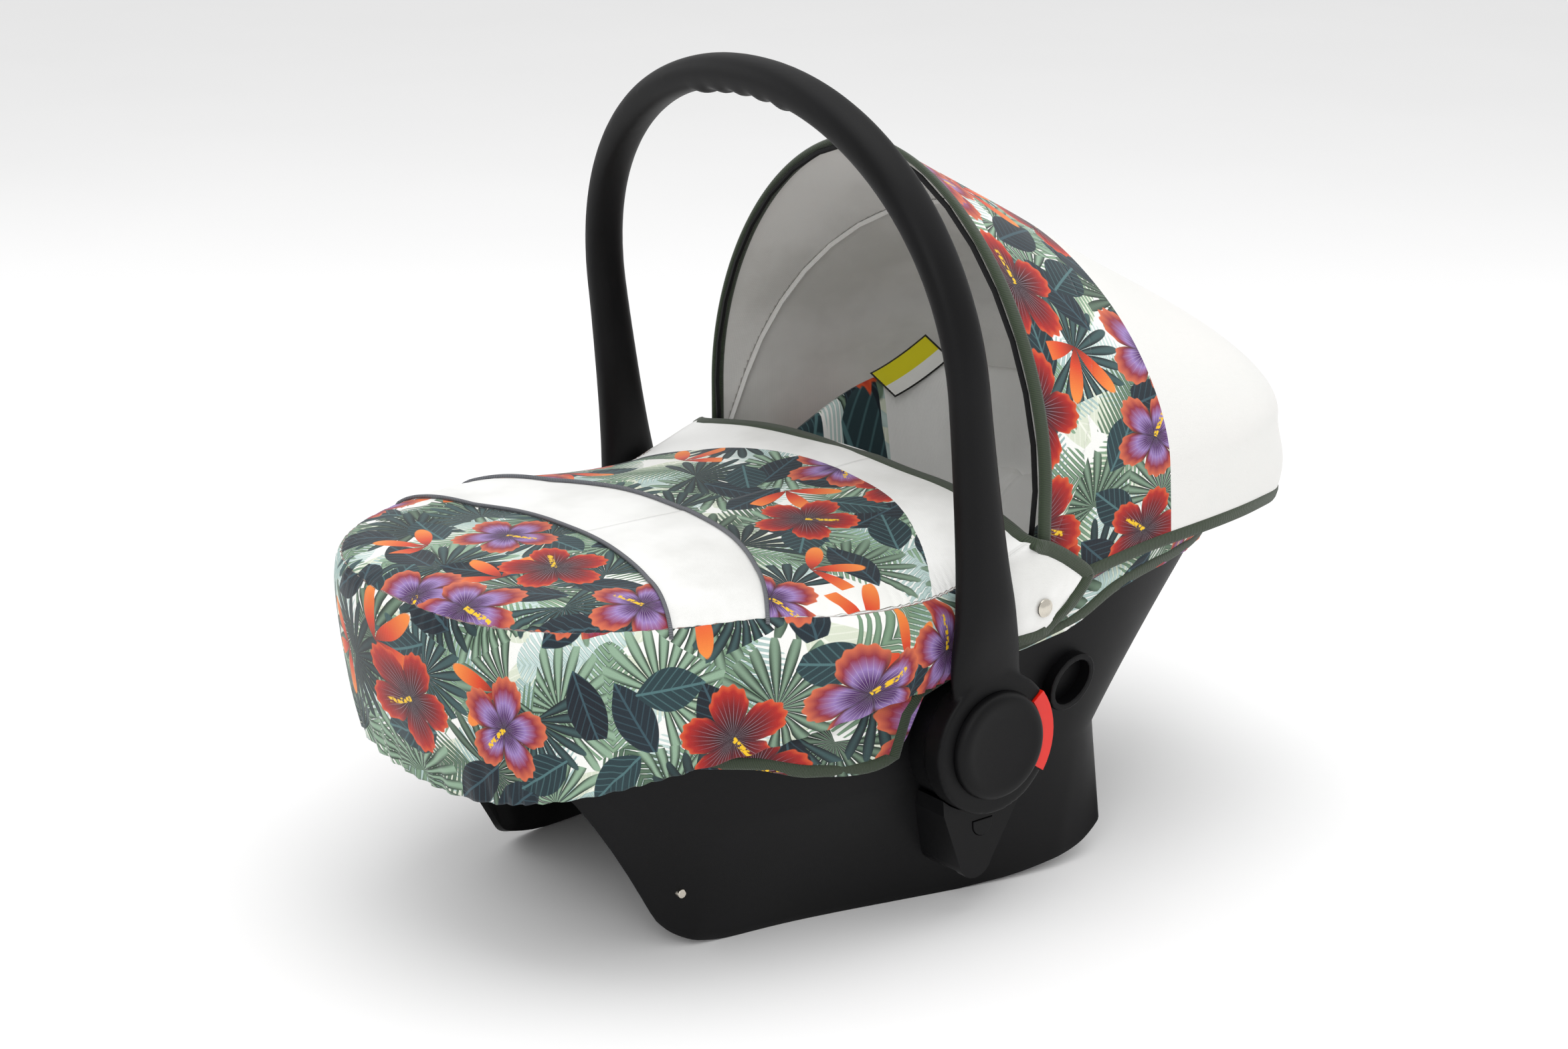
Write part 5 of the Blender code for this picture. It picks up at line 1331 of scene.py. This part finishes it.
def make_handle():
    """The carry handle: one moulding, remeshed so that its legs flow into the end plates, then cut."""
    handle = cloth_grid("moulded_carry_handle", 260, 28, handle_skin, [BLACK])
    shape = bmesh.new()
    shape.from_mesh(handle.data)
    bmesh.ops.holes_fill(shape, edges=shape.edges, sides=40)
    bmesh.ops.recalc_face_normals(shape, faces=shape.faces)
    for sign in SIDES.values():
        drum_shape(shape, PLATE_RADIUS, sign * PLATE_INNER, sign * PLATE_OUTER)
    shape.to_mesh(handle.data)
    shape.free()
    remesh = handle.modifiers.new("one_moulding", "REMESH")
    remesh.mode = "VOXEL"
    remesh.voxel_size = 0.0017
    smooth = handle.modifiers.new("flowing", "SMOOTH")
    smooth.iterations = 5
    smooth.factor = 0.5
    applied(handle)

    def cap_seat(shape, sign):
        drum_shape(shape, CAP_RADIUS + 0.0005, sign * (PLATE_OUTER - 0.0006), sign * (PLATE_OUTER + 0.03))

    for sign in SIDES.values():
        take_away(handle, cutter("cap_seat", lambda s, k=sign: cap_seat(s, k)))
        take_away(handle, cutter("release_window", lambda s, k=sign: window_sector(s, k)))
    handle.data.shade_smooth()
    handle.data.set_sharp_from_angle(angle=math.radians(40))
    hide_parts("carry_handle")
    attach(handle, "handle")


def make_hub_cap(side, sign):
    """The round cap: a shallow dish with a rounded rim and a faint ring."""
    shape = bmesh.new()
    top = CAP_THICKNESS
    profile = [
        (0.0, top - 0.0012), (0.020, top - 0.0010), (0.0275, top - 0.0003), (0.0300, top),
        (0.0335, top - 0.0003), (0.0358, top - 0.0014), (0.0371, top - 0.0034),
        (CAP_RADIUS, top - 0.0052), (CAP_RADIUS, -0.0004), (0.020, -0.0004),
    ]
    verts = [shape.verts.new((depth, radius, 0.0)) for radius, depth in profile]
    edges = [shape.edges.new(pair) for pair in zip(verts, verts[1:])]
    bmesh.ops.spin(
        shape, geom=verts + edges, cent=(0, 0, 0), axis=(1, 0, 0), angle=2 * math.pi, steps=96, use_merge=True
    )
    bmesh.ops.remove_doubles(shape, verts=shape.verts, dist=1e-6)
    bmesh.ops.holes_fill(shape, edges=shape.edges, sides=120)
    bmesh.ops.scale(shape, vec=(sign, 1, 1), verts=shape.verts)
    bmesh.ops.translate(shape, vec=(sign * CAP_INNER, HUB.y, HUB.z), verts=shape.verts)
    bmesh.ops.recalc_face_normals(shape, faces=shape.faces)
    cap = piece_from(f"dished_hub_cap_{side}", shape, [BLACK], 40)
    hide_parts(f"hub_cap_{side}")
    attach(cap, "handle")


def make_hubs():
    for side, sign in SIDES.items():
        make_hub_cap(side, sign)
        moulded(f"handle_release_{side}", RED, 0.0012, f"release_{side}")
        moulded(f"hub_housing_{side}", BLACK, 0.0010, "seat")
        moulded(f"adapter_socket_{side}", BLACK, 0.0016, "seat")
        moulded(f"adapter_button_{side}", BLACK, 0.0006, f"adapter_catch_{side}")
        moulded(f"belt_guide_{side}", BLACK, 0.0012, "seat")
        moulded(f"bow_bracket_{side}", BLACK, 0.0010, "seat")
        moulded(f"belt_pin_{side}", NICKEL, 0.0005, "seat")
        moulded(f"foot_pin_{side}", NICKEL, 0.0005, "seat")
        moulded(f"tongue_{side}", STEEL, 0.0004, "seat")
        for node in (f"pivot_bolt_{side}", f"lock_gear_{side}", f"lock_spring_{side}"):
            paint(node, STEEL)


def paint(node, finish):
    """Gives a CAD node that stays its finish."""
    for place in frame["nodes"][node].material_slots:
        place.material = finish


# ---------------------------------------------------------------- studio


def make_studio():
    """A plain pale floor, a broad overhead light, a key from the front left and a fill."""
    shape = bmesh.new()
    bmesh.ops.create_grid(shape, x_segments=1, y_segments=1, size=6.0)
    floor_finish, tree, shader = finish_of("pale_studio_floor")
    place = add(tree, "ShaderNodeTexCoord", out=3)
    cloud = add(tree, "ShaderNodeTexNoise", {"Vector": place, "Scale": 2.0})
    tree.links.new(over(tree, linear("#fbfbfb"), linear("#ffffff"), cloud), shader.inputs["Base Color"])
    shader.inputs["Roughness"].default_value = 0.9
    floor = piece_from("studio_floor", shape, [floor_finish])
    world = bpy.context.scene.world or bpy.data.worlds.new("studio")
    bpy.context.scene.world = world
    world.use_nodes = True
    back = world.node_tree.nodes["Background"]
    back.inputs["Color"].default_value = (1.0, 1.0, 1.0, 1.0)
    back.inputs["Strength"].default_value = 0.78
    bpy.context.scene.view_settings.view_transform = "Standard"
    lights = (
        ("overhead", (0.2, 0.1, 2.4), 2.2, 22.0),
        ("key", (1.9, -1.7, 1.7), 1.3, 15.0),
        ("fill", (-1.9, -1.2, 1.3), 1.6, 8.0),
        ("rear", (0.8, 2.0, 1.5), 1.4, 6.0),
    )
    for name, spot, size, watts in lights:
        data = bpy.data.lights.new(name, "AREA")
        data.size = size
        data.energy = watts
        lamp = bpy.data.objects.new(name, data)
        lamp.location = spot
        lamp.rotation_euler = (Vector((0, 0, 0.22)) - Vector(spot)).to_track_quat("-Z", "Y").to_euler()
        bpy.context.scene.collection.objects.link(lamp)


def make_camera():
    data = bpy.data.cameras.new("camera")
    data.lens = 68.53
    data.sensor_width = 36.0
    camera = bpy.data.objects.new("camera", data)
    right = Vector((0.6074, 0.7944, 0))
    up = Vector((-0.2402, 0.1837, 0.9532))
    back = Vector((0.7572, -0.5790, 0.3024))
    turn = Matrix((right, up, back)).transposed()
    camera.matrix_world = Matrix.Translation((1.591, -1.262, 0.871)) @ turn.to_4x4()
    bpy.context.scene.collection.objects.link(camera)
    bpy.context.scene.camera = camera


# ---------------------------------------------------------------- all of it

PRINT_SEAT = make_panelled_cloth("seat_cover_cloth", ((-2.0, 0.0),))
FOOT_CLOTH = make_panelled_cloth("foot_cover_cloth", ((-9.0, 0.0), (1.0, 2.0)), "#f4f4f2")
HOOD_CLOTH = make_panelled_cloth("hood_cloth", ((0.0, 9.0),), "#e6e5e2")

make_camera()
make_studio()
make_shell()
make_label(make_seat_cover())
make_pads()
for strap in ("shoulder_strap_left", "shoulder_strap_right", "crotch_strap"):
    make_strap(strap)
moulded("buckle_body", BLACK, 0.0006, "seat")
moulded("buckle_button", RED, 0.0005, "buckle_press")
moulded("front_bow", BLACK, 0.0004, "hood_front", 50)
# The middle bow runs in a sleeve of the lining cloth.
moulded("middle_bow", LINING, 0.0004, "hood_middle", 50)
make_foot_cover()
make_hood()
make_handle()
make_hubs()
